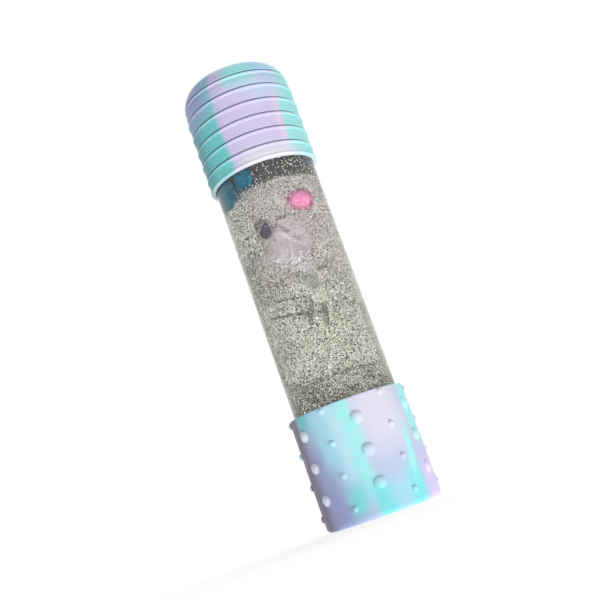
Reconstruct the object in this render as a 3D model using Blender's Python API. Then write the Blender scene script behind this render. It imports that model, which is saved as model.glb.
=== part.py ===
"""Glitter sensory bottle: a clear screw-top bottle of glitter liquid with loose treasures in it,
a ribbed silicone cover over its lid and a bumpy silicone boot on its foot.

Units are metres and +Z runs up the bottle. The origin is the centre of the boot's underside.
Angles round the bottle are degrees from the front (-Y) towards the right (+X).
Every piece has its object origin on the bottle's axis, which is the axis of every joint.
"""

import math

import bmesh
import bpy
from mathutils import Vector

# Gap kept between pieces that touch
GAP = 0.0003
MERGE = 0.000001
TURN_SEGMENTS = 40
INNER_SEGMENTS = 36

# The two silicone pieces have the same bore over the bottle
BOTTLE_RADIUS = 0.0275
SLEEVE_BORE = BOTTLE_RADIUS + GAP

# Boot
BOOT_HEIGHT = 0.0585
BOOT_RADIUS = 0.0303
BOOT_FLOOR = 0.0030
BOOT_FOOT_ROUND = 0.0026
BOOT_RIM_ROUND = 0.0006
BUMP_COLUMNS = 12
BUMP_FIRST_ANGLE = 5.5
BUMP_ROW_PITCH = 0.0164
BUMP_ROOT_DEPTH = 0.0012
LARGE_BUMP_RADIUS = 0.0032
LARGE_BUMP_RISE = 0.0016
LARGE_BUMP_ROWS = 3
LARGE_BUMP_LOWEST = 0.0155
LARGE_BUMP_SIDES = 12
LARGE_BUMP_RINGS = 3
SMALL_BUMP_RADIUS = 0.00175
SMALL_BUMP_RISE = 0.0014
SMALL_BUMP_ROWS = 4
SMALL_BUMP_LOWEST = 0.0073
SMALL_BUMP_SIDES = 10
SMALL_BUMP_RINGS = 2

# Cover: seven bands, each with a bead along its top, drawn in to a domed top
COVER_RIM_Z = 0.1873
COVER_HEIGHT = 0.0592
COVER_RADIUS = 0.0301
COVER_TOP_THICKNESS = 0.0040
COVER_BANDS = 7
BAND_PITCH = 0.00845
BAND_STEPS = 2
BAND_FOOT_CHAMFER = 0.0003
BEAD_HEIGHT = 0.0020
BEAD_RISE = 0.0005
GROOVE_DEPTH = 0.0012
GROOVE_WIDTH = 0.0005
DOME_FOOT_Z = 0.2300
DOME_INSET = 0.0090
DOME_STEPS = 6
COVER_STEP_Z = 0.2180
COVER_STEP_RISE = 0.0005
TOTAL_HEIGHT = COVER_RIM_Z + COVER_HEIGHT
DOME_RISE = TOTAL_HEIGHT - DOME_FOOT_Z

# Lid, gasket and neck, measured down from the cover's top
LID_RADIUS = 0.0270
LID_TOP_Z = TOTAL_HEIGHT - COVER_TOP_THICKNESS - GAP
LID_TOP_THICKNESS = 0.0020
LID_ROOF_Z = LID_TOP_Z - LID_TOP_THICKNESS
LID_BORE = 0.0255
LID_SKIRT_Z = 0.2206
LID_EDGE_ROUND = 0.0047
LID_ROOF_CHAMFER = 0.0010
LID_POCKET = LID_RADIUS + GAP
GASKET_THICKNESS = 0.0011
GASKET_BORE = 0.0205
GASKET_RADIUS = 0.0243
GASKET_Z = LID_ROOF_Z - GAP - GASKET_THICKNESS
NECK_RIM_Z = GASKET_Z - GAP
NECK_RADIUS = 0.0236
NECK_BORE = 0.0216
NECK_RIM_ROUND = 0.0004

# Screw thread, right handed: the lid rises one pitch a turn
THREAD_PITCH = 0.0040
THREAD_TURNS = 1.5
THREAD_STEPS = 54
THREAD_FADE_STEPS = 5
THREAD_ROOT_WIDTH = 0.0015
THREAD_CREST_WIDTH = 0.0008
THREAD_SINK = 0.0004
NECK_THREAD_CREST = 0.0250
NECK_THREAD_Z = 0.2272
LID_THREAD_CREST = 0.0241
LID_THREAD_Z = NECK_THREAD_Z - THREAD_PITCH / 2

# Bottle
BOTTLE_WALL = 0.0020
BOTTLE_BORE = BOTTLE_RADIUS - BOTTLE_WALL
BOTTLE_FLOOR = 0.0025
BOTTLE_FOOT_Z = BOOT_FLOOR + GAP
BOTTLE_FOOT_ROUND = 0.0020
SHOULDER_Z = 0.2140
SHOULDER_RISE = 0.0050

# Liquid: a body with ring lanes, so that the treasures can swirl round the bottle in it
LIQUID_RADIUS = BOTTLE_BORE - GAP
LIQUID_FOOT_Z = BOTTLE_FOOT_Z + BOTTLE_FLOOR + GAP
LIQUID_FOOT_ROUND = 0.0015
LIQUID_TOP_Z = 0.2120

# Treasures lie just inside the wall, and a pointed plate narrows this much to its outer face
TREASURE_RADIUS = 0.0250
TEAL_LARGE_TABLE = 0.72
TEAL_SMALL_TABLE = 0.70
GEM_TABLE = 0.60
LEAF_TABLE = 0.90

POMPOM_RADIUS = 0.0061
POMPOM_ANGLE = 41.0
POMPOM_Z = 0.1645
POMPOM_SUBDIVISIONS = 3
POMPOM_LANE = (0.1576, 0.1714)
POMPOM_LANE_RADIUS = 0.0120

TEAL_THICKNESS = 0.0022
TEAL_LANE = (0.1728, 0.1915)
TEAL_LANE_RADIUS = 0.0208
TEAL_LARGE_ANGLE = -60.0
TEAL_SMALL_ANGLE = -22.0

FILM_THICKNESS = 0.0007
FILM_RADIUS = 0.0215
FILM_RIPPLE = 0.0007
FILM_STEPS = 10
FILM_LANE = (0.1265, 0.1570)
FILM_LANE_RADIUS = 0.0200
FILM_CORNERS = ((-30.0, 0.1400), (27.0, 0.1295), (26.0, 0.1490), (-9.0, 0.1565))

GEM_THICKNESS = 0.0018
GEM_ANGLE = -21.0
GEM_Z = 0.1531

LEAF_THICKNESS = 0.0009
LEAF_LANE = (0.0938, 0.1250)
LEAF_LANE_RADIUS = 0.0232
LEAF_LENGTH = 0.0140
LEAF_WIDTH = 0.0034
LEAF_STEPS = 6
LEAF_LEFT_ANGLE = -2.0
LEAF_LEFT_Z = 0.1050
LEAF_LEFT_LEAN = 19.0
LEAF_RIGHT_ANGLE = 13.2
LEAF_RIGHT_Z = 0.1018
LEAF_RIGHT_LEAN = 10.0
OVAL_WIDTH = 0.0062
OVAL_HEIGHT = 0.0088
OVAL_ANGLE = 10.4
OVAL_Z = 0.1199
OVAL_LEAN = 20.0
OVAL_SIDES = 16


def clear_scene():
    """Take every object out of the scene."""
    for obj in list(bpy.data.objects):
        bpy.data.objects.remove(obj, do_unlink=True)


def make_finish(name, colour, roughness, transmission=0.0):
    """Principled material of one colour, with no metal in it."""
    material = bpy.data.materials.new(name)
    material.use_nodes = True
    shader = material.node_tree.nodes["Principled BSDF"]
    shader.inputs["Base Color"].default_value = (*colour, 1.0)
    shader.inputs["Roughness"].default_value = roughness
    shader.inputs["Metallic"].default_value = 0.0
    shader.inputs["Transmission Weight"].default_value = transmission
    return material


def place_mesh(name, bm, material=None, sharp_angle=35.0):
    """Turn a bmesh into a named, smooth-shaded object on the bottle's axis."""
    bmesh.ops.remove_doubles(bm, verts=bm.verts, dist=MERGE)
    bmesh.ops.recalc_face_normals(bm, faces=bm.faces)
    mesh = bpy.data.meshes.new(name)
    bm.to_mesh(mesh)
    bm.free()
    mesh.shade_smooth()
    mesh.set_sharp_from_angle(angle=math.radians(sharp_angle))
    if material is not None:
        mesh.materials.append(material)
    obj = bpy.data.objects.new(name, mesh)
    bpy.context.scene.collection.objects.link(obj)
    return obj


def arc(centre, radius, start, end, steps=4):
    """Points (r, z) on an arc about centre. 0 degrees points out from the axis and 90 points up."""
    points = []
    for i in range(steps + 1):
        angle = math.radians(start + (end - start) * i / steps)
        points.append((centre[0] + radius * math.cos(angle), centre[1] + radius * math.sin(angle)))
    return points


def turned(name, outline, material, segments=TURN_SEGMENTS):
    """Spin a closed outline of (r, z) points about the bottle's axis."""
    bm = bmesh.new()
    verts = [bm.verts.new((r, 0.0, z)) for r, z in outline]
    edges = []
    for start, end in zip(verts, verts[1:] + verts[:1]):
        if start.co.x > MERGE or end.co.x > MERGE:
            edges.append(bm.edges.new((start, end)))
    bmesh.ops.spin(
        bm, geom=verts + edges, cent=(0, 0, 0), axis=(0, 0, 1), angle=math.tau, steps=segments
    )
    return place_mesh(name, bm, material)


def fuse(body, addition):
    """Join a second closed mesh to a body."""
    addition.hide_render = True
    addition.display_type = "WIRE"
    modifier = body.modifiers.new("fuse_" + addition.name, "BOOLEAN")
    modifier.operation = "UNION"
    modifier.solver = "EXACT"
    modifier.object = addition


def add_dome(bm, angle, height, base_radius, rise, sides, rings):
    """Add one closed domed bump to the boot's wall, rooted in it."""
    turn = math.radians(angle)
    out = Vector((math.sin(turn), -math.cos(turn), 0.0))
    side = Vector((math.cos(turn), math.sin(turn), 0.0))
    up = Vector((0.0, 0.0, 1.0))
    centre = out * BOOT_RADIUS + up * height
    sphere = (base_radius**2 + rise**2) / (2 * rise)
    spread = math.asin(min(1.0, base_radius / sphere))
    levels = [(base_radius, -BUMP_ROOT_DEPTH)]
    for i in range(rings):
        lean = spread * (1 - i / rings)
        levels.append((sphere * math.sin(lean), sphere * math.cos(lean) - sphere + rise))
    loops = []
    for radius, level in levels:
        loop = []
        for k in range(sides):
            around = math.tau * k / sides
            offset = side * (radius * math.cos(around)) + up * (radius * math.sin(around))
            loop.append(bm.verts.new(centre + out * level + offset))
        loops.append(loop)
    for lower, upper in zip(loops, loops[1:]):
        for k in range(sides):
            after = (k + 1) % sides
            bm.faces.new((lower[k], lower[after], upper[after], upper[k]))
    tip = bm.verts.new(centre + out * rise)
    for k in range(sides):
        bm.faces.new((loops[-1][k], loops[-1][(k + 1) % sides], tip))
    bm.faces.new(list(reversed(loops[0])))


def make_boot():
    """Silicone cup with columns of large and small bumps in turn."""
    finish = make_finish("boot_silicone", (0.52, 0.68, 0.82), 0.45)
    outline = [(0.0, 0.0)]
    outline += arc((BOOT_RADIUS - BOOT_FOOT_ROUND, BOOT_FOOT_ROUND), BOOT_FOOT_ROUND, -90, 0, 5)
    outline += arc((BOOT_RADIUS - BOOT_RIM_ROUND, BOOT_HEIGHT - BOOT_RIM_ROUND), BOOT_RIM_ROUND, 0, 90, 3)
    outline += [(SLEEVE_BORE, BOOT_HEIGHT), (SLEEVE_BORE, BOOT_FLOOR), (0.0, BOOT_FLOOR)]
    boot = turned("bumpy_boot", outline, finish)

    bumps = bmesh.new()
    step = 360.0 / BUMP_COLUMNS
    for column in range(BUMP_COLUMNS):
        angle = BUMP_FIRST_ANGLE + step * column
        if column % 2 == 0:
            for row in range(LARGE_BUMP_ROWS):
                height = LARGE_BUMP_LOWEST + BUMP_ROW_PITCH * row
                add_dome(
                    bumps, angle, height, LARGE_BUMP_RADIUS, LARGE_BUMP_RISE,
                    LARGE_BUMP_SIDES, LARGE_BUMP_RINGS,
                )
        else:
            for row in range(SMALL_BUMP_ROWS):
                height = SMALL_BUMP_LOWEST + BUMP_ROW_PITCH * row
                add_dome(
                    bumps, angle, height, SMALL_BUMP_RADIUS, SMALL_BUMP_RISE,
                    SMALL_BUMP_SIDES, SMALL_BUMP_RINGS,
                )
    fuse(boot, place_mesh("boot_bumps", bumps))
    return boot


def cover_wall(z):
    """Outer radius of the cover at a height: straight, and then drawn in to the dome."""
    climb = max(0.0, z - DOME_FOOT_Z) / DOME_RISE
    return COVER_RADIUS - DOME_INSET * (1 - math.sqrt(1 - climb**2))


def bead_half(crest, inset, level, drop, steps=3):
    """Points (r, z) of half a bead: a quarter turn from its crest in to the inset."""
    points = []
    for i in range(steps + 1):
        angle = math.pi / 2 * i / steps
        points.append((crest - inset * (1 - math.cos(angle)), level + drop * math.sin(angle)))
    return points


def make_cover():
    """Silicone cap cover: bands with a bead along the top of each, parted by fine grooves."""
    finish = make_finish("cover_silicone", (0.55, 0.72, 0.84), 0.45)
    roof = TOTAL_HEIGHT - COVER_TOP_THICKNESS
    half_bead = BEAD_HEIGHT / 2
    top_foot = COVER_RIM_Z + BAND_PITCH * (COVER_BANDS - 1) + GROOVE_WIDTH / 2 + BAND_FOOT_CHAMFER
    lowest = math.asin((top_foot - DOME_FOOT_Z) / DOME_RISE)
    outline = [(0.0, TOTAL_HEIGHT)]
    for i in range(DOME_STEPS + 1):
        angle = math.pi / 2 + (lowest - math.pi / 2) * i / DOME_STEPS
        z = DOME_FOOT_Z + DOME_RISE * math.sin(angle)
        outline.append((COVER_RADIUS - DOME_INSET * (1 - math.cos(angle)), z))
    for k in range(COVER_BANDS - 1, 0, -1):
        upper = COVER_RIM_Z + BAND_PITCH * k + GROOVE_WIDTH / 2
        lower = upper - GROOVE_WIDTH
        crest = cover_wall(lower - half_bead)
        groove = crest - GROOVE_DEPTH
        outline.append((outline[-1][0] - BAND_FOOT_CHAMFER, upper))
        outline.append((groove, upper))
        outline += reversed(bead_half(crest, GROOVE_DEPTH, lower - half_bead, half_bead))
        outline += bead_half(crest, BEAD_RISE, lower - half_bead, -half_bead)[1:-1]
        flat_top = lower - BEAD_HEIGHT
        flat_foot = upper - BAND_PITCH + BAND_FOOT_CHAMFER if k > 1 else COVER_RIM_Z + BEAD_HEIGHT
        for i in range(BAND_STEPS + 1):
            z = flat_top + (flat_foot - flat_top) * i / BAND_STEPS
            outline.append((cover_wall(z) - BEAD_RISE, z))
    outline += list(reversed(bead_half(COVER_RADIUS, BEAD_RISE, COVER_RIM_Z + half_bead, half_bead)))[1:]
    outline += bead_half(COVER_RADIUS, half_bead, COVER_RIM_Z + half_bead, -half_bead)[1:]
    outline += [(SLEEVE_BORE, COVER_RIM_Z), (SLEEVE_BORE, COVER_STEP_Z)]
    outline += [(LID_POCKET, COVER_STEP_Z + COVER_STEP_RISE)]
    pocket_round = LID_EDGE_ROUND + GAP
    outline += arc((LID_POCKET - pocket_round, roof - pocket_round), pocket_round, 0, 90, 4)
    outline += [(0.0, roof)]
    return turned("ribbed_cover", outline, finish)


def make_thread(name, root, crest, start_z):
    """Helical ridge from its root radius to its crest radius, fading in and out at its ends."""
    bm = bmesh.new()
    sections = []
    for i in range(THREAD_STEPS + 1):
        share = i / THREAD_STEPS
        turn = math.tau * THREAD_TURNS * share
        z = start_z + THREAD_PITCH * THREAD_TURNS * share
        fade = min(1.0, (i + 1) / THREAD_FADE_STEPS, (THREAD_STEPS - i + 1) / THREAD_FADE_STEPS)
        reach = root + (crest - root) * fade
        section = []
        corners = (
            (root, -THREAD_ROOT_WIDTH / 2),
            (reach, -THREAD_CREST_WIDTH / 2),
            (reach, THREAD_CREST_WIDTH / 2),
            (root, THREAD_ROOT_WIDTH / 2),
        )
        for radius, rise in corners:
            section.append(bm.verts.new((radius * math.cos(turn), radius * math.sin(turn), z + rise)))
        sections.append(section)
    for near, far in zip(sections, sections[1:]):
        for k in range(len(near)):
            after = (k + 1) % len(near)
            bm.faces.new((near[k], near[after], far[after], far[k]))
    bm.faces.new(sections[0])
    bm.faces.new(sections[-1])
    return place_mesh(name, bm)


def make_bottle():
    """Clear straight bottle with a shoulder and a wide threaded neck."""
    finish = make_finish("bottle_clear_plastic", (0.92, 0.94, 0.94), 0.05, transmission=1.0)
    foot = (BOTTLE_RADIUS - BOTTLE_FOOT_ROUND, BOTTLE_FOOT_Z + BOTTLE_FOOT_ROUND)
    inner_floor = BOTTLE_FOOT_Z + BOTTLE_FLOOR
    neck_z = SHOULDER_Z + SHOULDER_RISE
    outline = [(0.0, BOTTLE_FOOT_Z)]
    outline += arc(foot, BOTTLE_FOOT_ROUND, -90, 0, 3)
    outline += [(BOTTLE_RADIUS, SHOULDER_Z), (NECK_RADIUS, neck_z)]
    outline += [(NECK_RADIUS, NECK_RIM_Z - NECK_RIM_ROUND), (NECK_RADIUS - NECK_RIM_ROUND, NECK_RIM_Z)]
    outline += [(NECK_BORE, NECK_RIM_Z), (NECK_BORE, neck_z), (BOTTLE_BORE, SHOULDER_Z)]
    outline += [(BOTTLE_BORE, inner_floor), (0.0, inner_floor)]
    bottle = turned("clear_bottle", outline, finish)
    thread = make_thread("neck_thread", NECK_RADIUS - THREAD_SINK, NECK_THREAD_CREST, NECK_THREAD_Z)
    fuse(bottle, thread)
    return bottle


def make_lid():
    """Screw lid that the ribbed cover hides, with a thread inside its skirt."""
    finish = make_finish("lid_white_plastic", (0.90, 0.90, 0.88), 0.35)
    edge = (LID_RADIUS - LID_EDGE_ROUND, LID_TOP_Z - LID_EDGE_ROUND)
    outline = [(0.0, LID_TOP_Z)]
    outline += arc(edge, LID_EDGE_ROUND, 90, 0, 4)
    outline += [(LID_RADIUS, LID_SKIRT_Z), (LID_BORE, LID_SKIRT_Z)]
    outline += [(LID_BORE, LID_ROOF_Z - LID_ROOF_CHAMFER), (LID_BORE - LID_ROOF_CHAMFER, LID_ROOF_Z)]
    outline += [(0.0, LID_ROOF_Z)]
    lid = turned("screw_lid", outline, finish)
    fuse(lid, make_thread("lid_thread", LID_BORE + THREAD_SINK, LID_THREAD_CREST, LID_THREAD_Z))
    return lid


def make_gasket():
    """Flat sealing ring that the lid presses on the neck's rim."""
    finish = make_finish("gasket_silicone", (0.85, 0.86, 0.84), 0.6)
    top = GASKET_Z + GASKET_THICKNESS
    outline = [(GASKET_RADIUS, top), (GASKET_RADIUS, GASKET_Z), (GASKET_BORE, GASKET_Z), (GASKET_BORE, top)]
    return turned("lid_gasket", outline, finish, INNER_SEGMENTS)


def make_liquid():
    """Glitter liquid, filled to just under the shoulder, with a lane for each band of treasures."""
    finish = make_finish("glitter_liquid", (0.52, 0.49, 0.40), 0.3)
    foot = (LIQUID_RADIUS - LIQUID_FOOT_ROUND, LIQUID_FOOT_Z + LIQUID_FOOT_ROUND)
    outline = [(0.0, LIQUID_FOOT_Z)]
    outline += arc(foot, LIQUID_FOOT_ROUND, -90, 0, 2)
    outline += [(LIQUID_RADIUS, LEAF_LANE[0]), (LEAF_LANE_RADIUS, LEAF_LANE[0])]
    outline += [(LEAF_LANE_RADIUS, LEAF_LANE[1]), (LIQUID_RADIUS, LEAF_LANE[1])]
    outline += [(LIQUID_RADIUS, FILM_LANE[0]), (FILM_LANE_RADIUS, FILM_LANE[0])]
    outline += [(FILM_LANE_RADIUS, FILM_LANE[1]), (POMPOM_LANE_RADIUS, POMPOM_LANE[0])]
    outline += [(POMPOM_LANE_RADIUS, POMPOM_LANE[1]), (LIQUID_RADIUS, POMPOM_LANE[1])]
    outline += [(LIQUID_RADIUS, TEAL_LANE[0]), (TEAL_LANE_RADIUS, TEAL_LANE[0])]
    outline += [(TEAL_LANE_RADIUS, TEAL_LANE[1]), (LIQUID_RADIUS, TEAL_LANE[1])]
    outline += [(LIQUID_RADIUS, LIQUID_TOP_Z), (0.0, LIQUID_TOP_Z)]
    return turned("glitter_liquid", outline, finish, INNER_SEGMENTS)


def make_pompom():
    """Round pompom lying against the wall."""
    finish = make_finish("pompom_pink", (0.90, 0.14, 0.42), 0.9)
    bm = bmesh.new()
    bmesh.ops.create_icosphere(bm, subdivisions=POMPOM_SUBDIVISIONS, radius=POMPOM_RADIUS)
    bmesh.ops.translate(bm, verts=bm.verts, vec=(0.0, POMPOM_RADIUS - TREASURE_RADIUS, POMPOM_Z))
    pompom = place_mesh("pink_pompom", bm, finish, 180.0)
    pompom.rotation_euler.z = math.radians(POMPOM_ANGLE)
    return pompom


def add_plate(name, outline, thickness, table, angle, material):
    """Flat cut stone behind the wall: a base outline of (x, z) and a smaller table facing out.

    table is the share of the outline that the outer face keeps, 1 for a plain plate.
    """
    middle_x = sum(x for x, _ in outline) / len(outline)
    middle_z = sum(z for _, z in outline) / len(outline)
    widest = max(abs(x) for x, _ in outline)
    face = -math.sqrt(TREASURE_RADIUS**2 - widest**2)
    bm = bmesh.new()
    back = [bm.verts.new((x, face + thickness, z)) for x, z in outline]
    girdle = [bm.verts.new((x, face + thickness / 2, z)) for x, z in outline]
    front = []
    for x, z in outline:
        spot = (middle_x + (x - middle_x) * table, face, middle_z + (z - middle_z) * table)
        front.append(bm.verts.new(spot))
    for lower, upper in ((back, girdle), (girdle, front)):
        for k in range(len(outline)):
            after = (k + 1) % len(outline)
            bm.faces.new((lower[k], lower[after], upper[after], upper[k]))
    bm.faces.new(back)
    bm.faces.new(front)
    plate = place_mesh(name, bm, material, 10.0)
    plate.rotation_euler.z = math.radians(angle)
    return plate


def make_teal_gems():
    """Two chunky teal stones that float at the top, under the cover's rim."""
    large = [
        (-0.0085, 0.1775), (-0.0030, 0.1740), (0.0046, 0.1744), (0.0088, 0.1805),
        (0.0066, 0.1880), (-0.0020, 0.1900), (-0.0078, 0.1862),
    ]
    small = [
        (-0.0048, 0.1800), (-0.0008, 0.1781), (0.0036, 0.1790), (0.0056, 0.1832), (0.0048, 0.1884),
        (0.0000, 0.1902), (-0.0048, 0.1878),
    ]
    add_plate(
        "teal_gem_large", large, TEAL_THICKNESS, TEAL_LARGE_TABLE, TEAL_LARGE_ANGLE,
        make_finish("gem_teal_large", (0.04, 0.32, 0.42), 0.15),
    )
    add_plate(
        "teal_gem_small", small, TEAL_THICKNESS, TEAL_SMALL_TABLE, TEAL_SMALL_ANGLE,
        make_finish("gem_teal_small", (0.06, 0.36, 0.45), 0.15),
    )


def make_dark_gem():
    """Dark pointed gem caught in front of the film."""
    outline = [
        (0.0015, GEM_Z + 0.0046), (-0.0012, GEM_Z + 0.0026), (-0.0034, GEM_Z + 0.0004),
        (-0.0030, GEM_Z - 0.0022), (-0.0010, GEM_Z - 0.0042), (0.0016, GEM_Z - 0.0038),
        (0.0028, GEM_Z - 0.0024), (0.0027, GEM_Z + 0.0010),
    ]
    finish = make_finish("gem_dark_purple", (0.045, 0.035, 0.065), 0.2)
    return add_plate("dark_gem", outline, GEM_THICKNESS, GEM_TABLE, GEM_ANGLE, finish)


def film_point(across, upward, layer):
    """Point on the crumpled film, from its corners and its folds. layer is -1 inside, 1 outside."""
    low_left, low_right, high_right, high_left = FILM_CORNERS
    angle = 0.0
    height = 0.0
    weights = (
        (low_left, (1 - across) * (1 - upward)),
        (low_right, across * (1 - upward)),
        (high_right, across * upward),
        (high_left, (1 - across) * upward),
    )
    for corner, weight in weights:
        angle += corner[0] * weight
        height += corner[1] * weight
    fold = math.sin(9.0 * across + 5.0 * upward) * math.cos(7.0 * upward - 2.5 * across)
    radius = FILM_RADIUS + FILM_RIPPLE * fold + layer * FILM_THICKNESS / 2
    turn = math.radians(angle)
    return (radius * math.sin(turn), -radius * math.cos(turn), height)


def make_film():
    """Crumpled see-through lilac film, with its main folds."""
    bm = bmesh.new()
    layers = []
    for layer in (-1, 1):
        grid = []
        for i in range(FILM_STEPS + 1):
            row = []
            for j in range(FILM_STEPS + 1):
                row.append(bm.verts.new(film_point(i / FILM_STEPS, j / FILM_STEPS, layer)))
            grid.append(row)
        layers.append(grid)
    for grid in layers:
        for i in range(FILM_STEPS):
            for j in range(FILM_STEPS):
                bm.faces.new((grid[i][j], grid[i + 1][j], grid[i + 1][j + 1], grid[i][j + 1]))
    rim = [(i, 0) for i in range(FILM_STEPS)]
    rim += [(FILM_STEPS, j) for j in range(FILM_STEPS)]
    rim += [(i, FILM_STEPS) for i in range(FILM_STEPS, 0, -1)]
    rim += [(0, j) for j in range(FILM_STEPS, 0, -1)]
    inner, outer = layers
    for (i, j), (m, n) in zip(rim, rim[1:] + rim[:1]):
        bm.faces.new((inner[i][j], inner[m][n], outer[m][n], outer[i][j]))
    return place_mesh("lilac_film", bm, make_finish("film_lilac", (0.60, 0.50, 0.68), 0.25))


def leaf_outline(middle_z, lean):
    """Pointed leaf of (x, z) points, leaning to the left at its foot."""
    sides = ([], [])
    for i in range(LEAF_STEPS + 1):
        share = i / LEAF_STEPS
        half = LEAF_WIDTH / 2 * math.sin(math.pi * share) ** 0.8
        along = LEAF_LENGTH * (0.5 - share)
        shift = along * math.tan(math.radians(lean))
        sides[0].append((shift - half, middle_z + along))
        sides[1].append((shift + half, middle_z + along))
    return sides[0] + sides[1][-2:0:-1]


def make_leaves():
    """Two dark pointed leaves and a grey oval sequin that leans to the left, below the film."""
    add_plate(
        "leaf_left", leaf_outline(LEAF_LEFT_Z, LEAF_LEFT_LEAN), LEAF_THICKNESS, LEAF_TABLE,
        LEAF_LEFT_ANGLE,
        make_finish("leaf_grey_left", (0.20, 0.20, 0.19), 0.35),
    )
    add_plate(
        "leaf_right", leaf_outline(LEAF_RIGHT_Z, LEAF_RIGHT_LEAN), LEAF_THICKNESS, LEAF_TABLE,
        LEAF_RIGHT_ANGLE,
        make_finish("leaf_grey_right", (0.22, 0.22, 0.21), 0.35),
    )
    oval = []
    lean = math.radians(OVAL_LEAN)
    for k in range(OVAL_SIDES):
        around = math.tau * k / OVAL_SIDES
        across = OVAL_WIDTH / 2 * math.cos(around)
        along = OVAL_HEIGHT / 2 * math.sin(around)
        x = across * math.cos(lean) - along * math.sin(lean)
        oval.append((x, OVAL_Z + across * math.sin(lean) + along * math.cos(lean)))
    finish = make_finish("sequin_grey", (0.42, 0.42, 0.44), 0.25)
    add_plate("oval_sequin", oval, LEAF_THICKNESS, LEAF_TABLE, OVAL_ANGLE, finish)


def main():
    """Build every piece of the bottle, from the boot up and then what is inside."""
    clear_scene()
    make_boot()
    make_bottle()
    make_lid()
    make_gasket()
    make_cover()
    make_liquid()
    make_pompom()
    make_teal_gems()
    make_dark_gem()
    make_film()
    make_leaves()


main()
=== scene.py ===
"""Looks of the glitter sensory bottle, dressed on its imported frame.

Lengths are metres, unless a field says millimetres. Angles round the bottle are degrees from its
front (-Y) towards its right (+X).
"""

import logging
import math
from collections.abc import Sequence
from dataclasses import dataclass
from enum import Enum
from functools import cached_property
from typing import Any

import bmesh
import bpy
from bpy.types import Material, Mesh, MeshPolygon, Node, NodeSocket, NodeTree, Object
from mathutils import Matrix, Vector, noise


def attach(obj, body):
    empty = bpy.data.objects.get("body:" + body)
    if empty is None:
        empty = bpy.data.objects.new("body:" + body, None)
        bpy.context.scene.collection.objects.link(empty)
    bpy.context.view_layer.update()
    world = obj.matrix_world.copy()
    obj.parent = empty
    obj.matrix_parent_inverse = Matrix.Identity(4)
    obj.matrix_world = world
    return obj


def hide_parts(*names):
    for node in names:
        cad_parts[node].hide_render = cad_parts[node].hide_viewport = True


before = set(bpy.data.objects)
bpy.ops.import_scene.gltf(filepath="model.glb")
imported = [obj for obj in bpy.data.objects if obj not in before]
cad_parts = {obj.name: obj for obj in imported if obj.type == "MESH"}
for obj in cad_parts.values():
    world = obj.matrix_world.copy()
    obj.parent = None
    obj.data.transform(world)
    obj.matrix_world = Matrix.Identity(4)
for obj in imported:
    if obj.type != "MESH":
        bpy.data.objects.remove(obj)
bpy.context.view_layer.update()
LOG = logging.getLogger("sensory_bottle")

MM = 0.001
MERGE = 0.000001
Colour = tuple[float, float, float, float]
Spot = tuple[float, float]
WHITE: Colour = (1.0, 1.0, 1.0, 1.0)
FLAT = (1.0, 1.0, 0.0)
SHARP = 35.0
GRAIN_DEPTH = 0.0002
AIR_INDEX = 1.50
WET_INDEX = 1.128


def paint(code: str) -> Colour:
    """Turn a six-figure screen colour into a linear one.

    Args:
        code: Red, green and blue as two hexadecimal figures each.

    Returns:
        The linear colour, with full alpha.
    """
    levels = [int(code[i : i + 2], 16) / 255 for i in (0, 2, 4)]
    red, green, blue = [c / 12.92 if c <= 0.04045 else ((c + 0.055) / 1.055) ** 2.4 for c in levels]
    return (red, green, blue, 1.0)


def eased(value: float, low: float, high: float) -> float:
    """Ease a value from 0, up to low, to 1, from high on, and return the share."""
    share = min(1.0, max(0.0, (value - low) / (high - low)))
    return share * share * (3 - 2 * share)


def spaced(feeds: dict[str, Any]) -> dict[str, Any]:
    """Put a space for each _ in the inputs' names, and return the inputs."""
    return {label.replace("_", " "): value for label, value in feeds.items()}


def on_circle(radius: float, turn: float, height: float) -> Vector:
    """Return the point at a radius, an angle from the front in radians and a height."""
    return Vector((radius * math.sin(turn), -radius * math.cos(turn), height))


class Tint(Enum):
    """A named screen colour of six figures."""

    @property
    def colour(self) -> Colour:
        """The tint as a linear colour."""
        return paint(self.value)


class Dye(Tint):
    """Dyes that are swirled into the silicone."""

    AQUA = "78D6D8"
    PALE_AQUA = "A8F1F1"
    BRIGHT_AQUA = "88E3E8"
    ICE = "B2E6FA"
    SKY = "CDE0FA"
    LAVENDER = "BECAE6"
    LILAC = "DAD0F5"
    VIOLET = "A8B0DC"
    # Dark mauve: dye darkened with painted shade, for the boot's left edge.
    SHADED_MAUVE = "706880"
    BLUSH = "DEDCEC"
    PINK = "EADAF0"
    FROST = "C8ECFA"
    POWDER = "AADCEE"
    # White: used for the painted highlights on the bumps and on the cover's rim.
    WHITE = "F2F3FA"
    # Deep aqua: aqua dye darkened with painted shade, for the cover's left edge.
    SHADED_AQUA = "58A8B0"


class Packed(Tint):
    """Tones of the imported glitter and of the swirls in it."""

    GAP = "4E4E40"
    FLAKE = "D0CEBE"
    SPARK = "FFFEF4"
    CLOUD = "7C7C6E"
    HAZE = "D2C7C8"
    SHADE = "28393F"
    FOOT_DARK = "A6A79A"
    SMEAR = "66665A"
    # Painted shade on the tube's left side.
    LEFT_SHADE = "6C6D63"
    # Painted reflection along the tube's right edge: dimmer low down, paler higher up.
    RIGHT_REFLECTION_DIM = "A3A39D"
    RIGHT_REFLECTION_PALE = "CFCBC8"
    ROSE = "D2BEC3"
    ICE = "A0E4F4"
    SLIVER = "E4E4E2"
    VEIL = "DAD6DE"


class Film(Tint):
    """Tones of the lilac film."""

    DEEP = "C6B8C2"
    PALE = "D4C8D0"
    # Painted shadow along the fold.
    FOLD_SHADOW = "7C7179"
    # Painted highlight on the crinkles.
    CREASE_HIGHLIGHT = "ECE7EE"


class Kind(Enum):
    """Kinds of socket on a node tree or a node group."""

    FLOAT = "NodeSocketFloat"
    WHOLE = "NodeSocketInt"
    COLOUR = "NodeSocketColor"
    VECTOR = "NodeSocketVector"
    SHAPE = "NodeSocketGeometry"
    FINISH = "NodeSocketMaterial"


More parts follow.
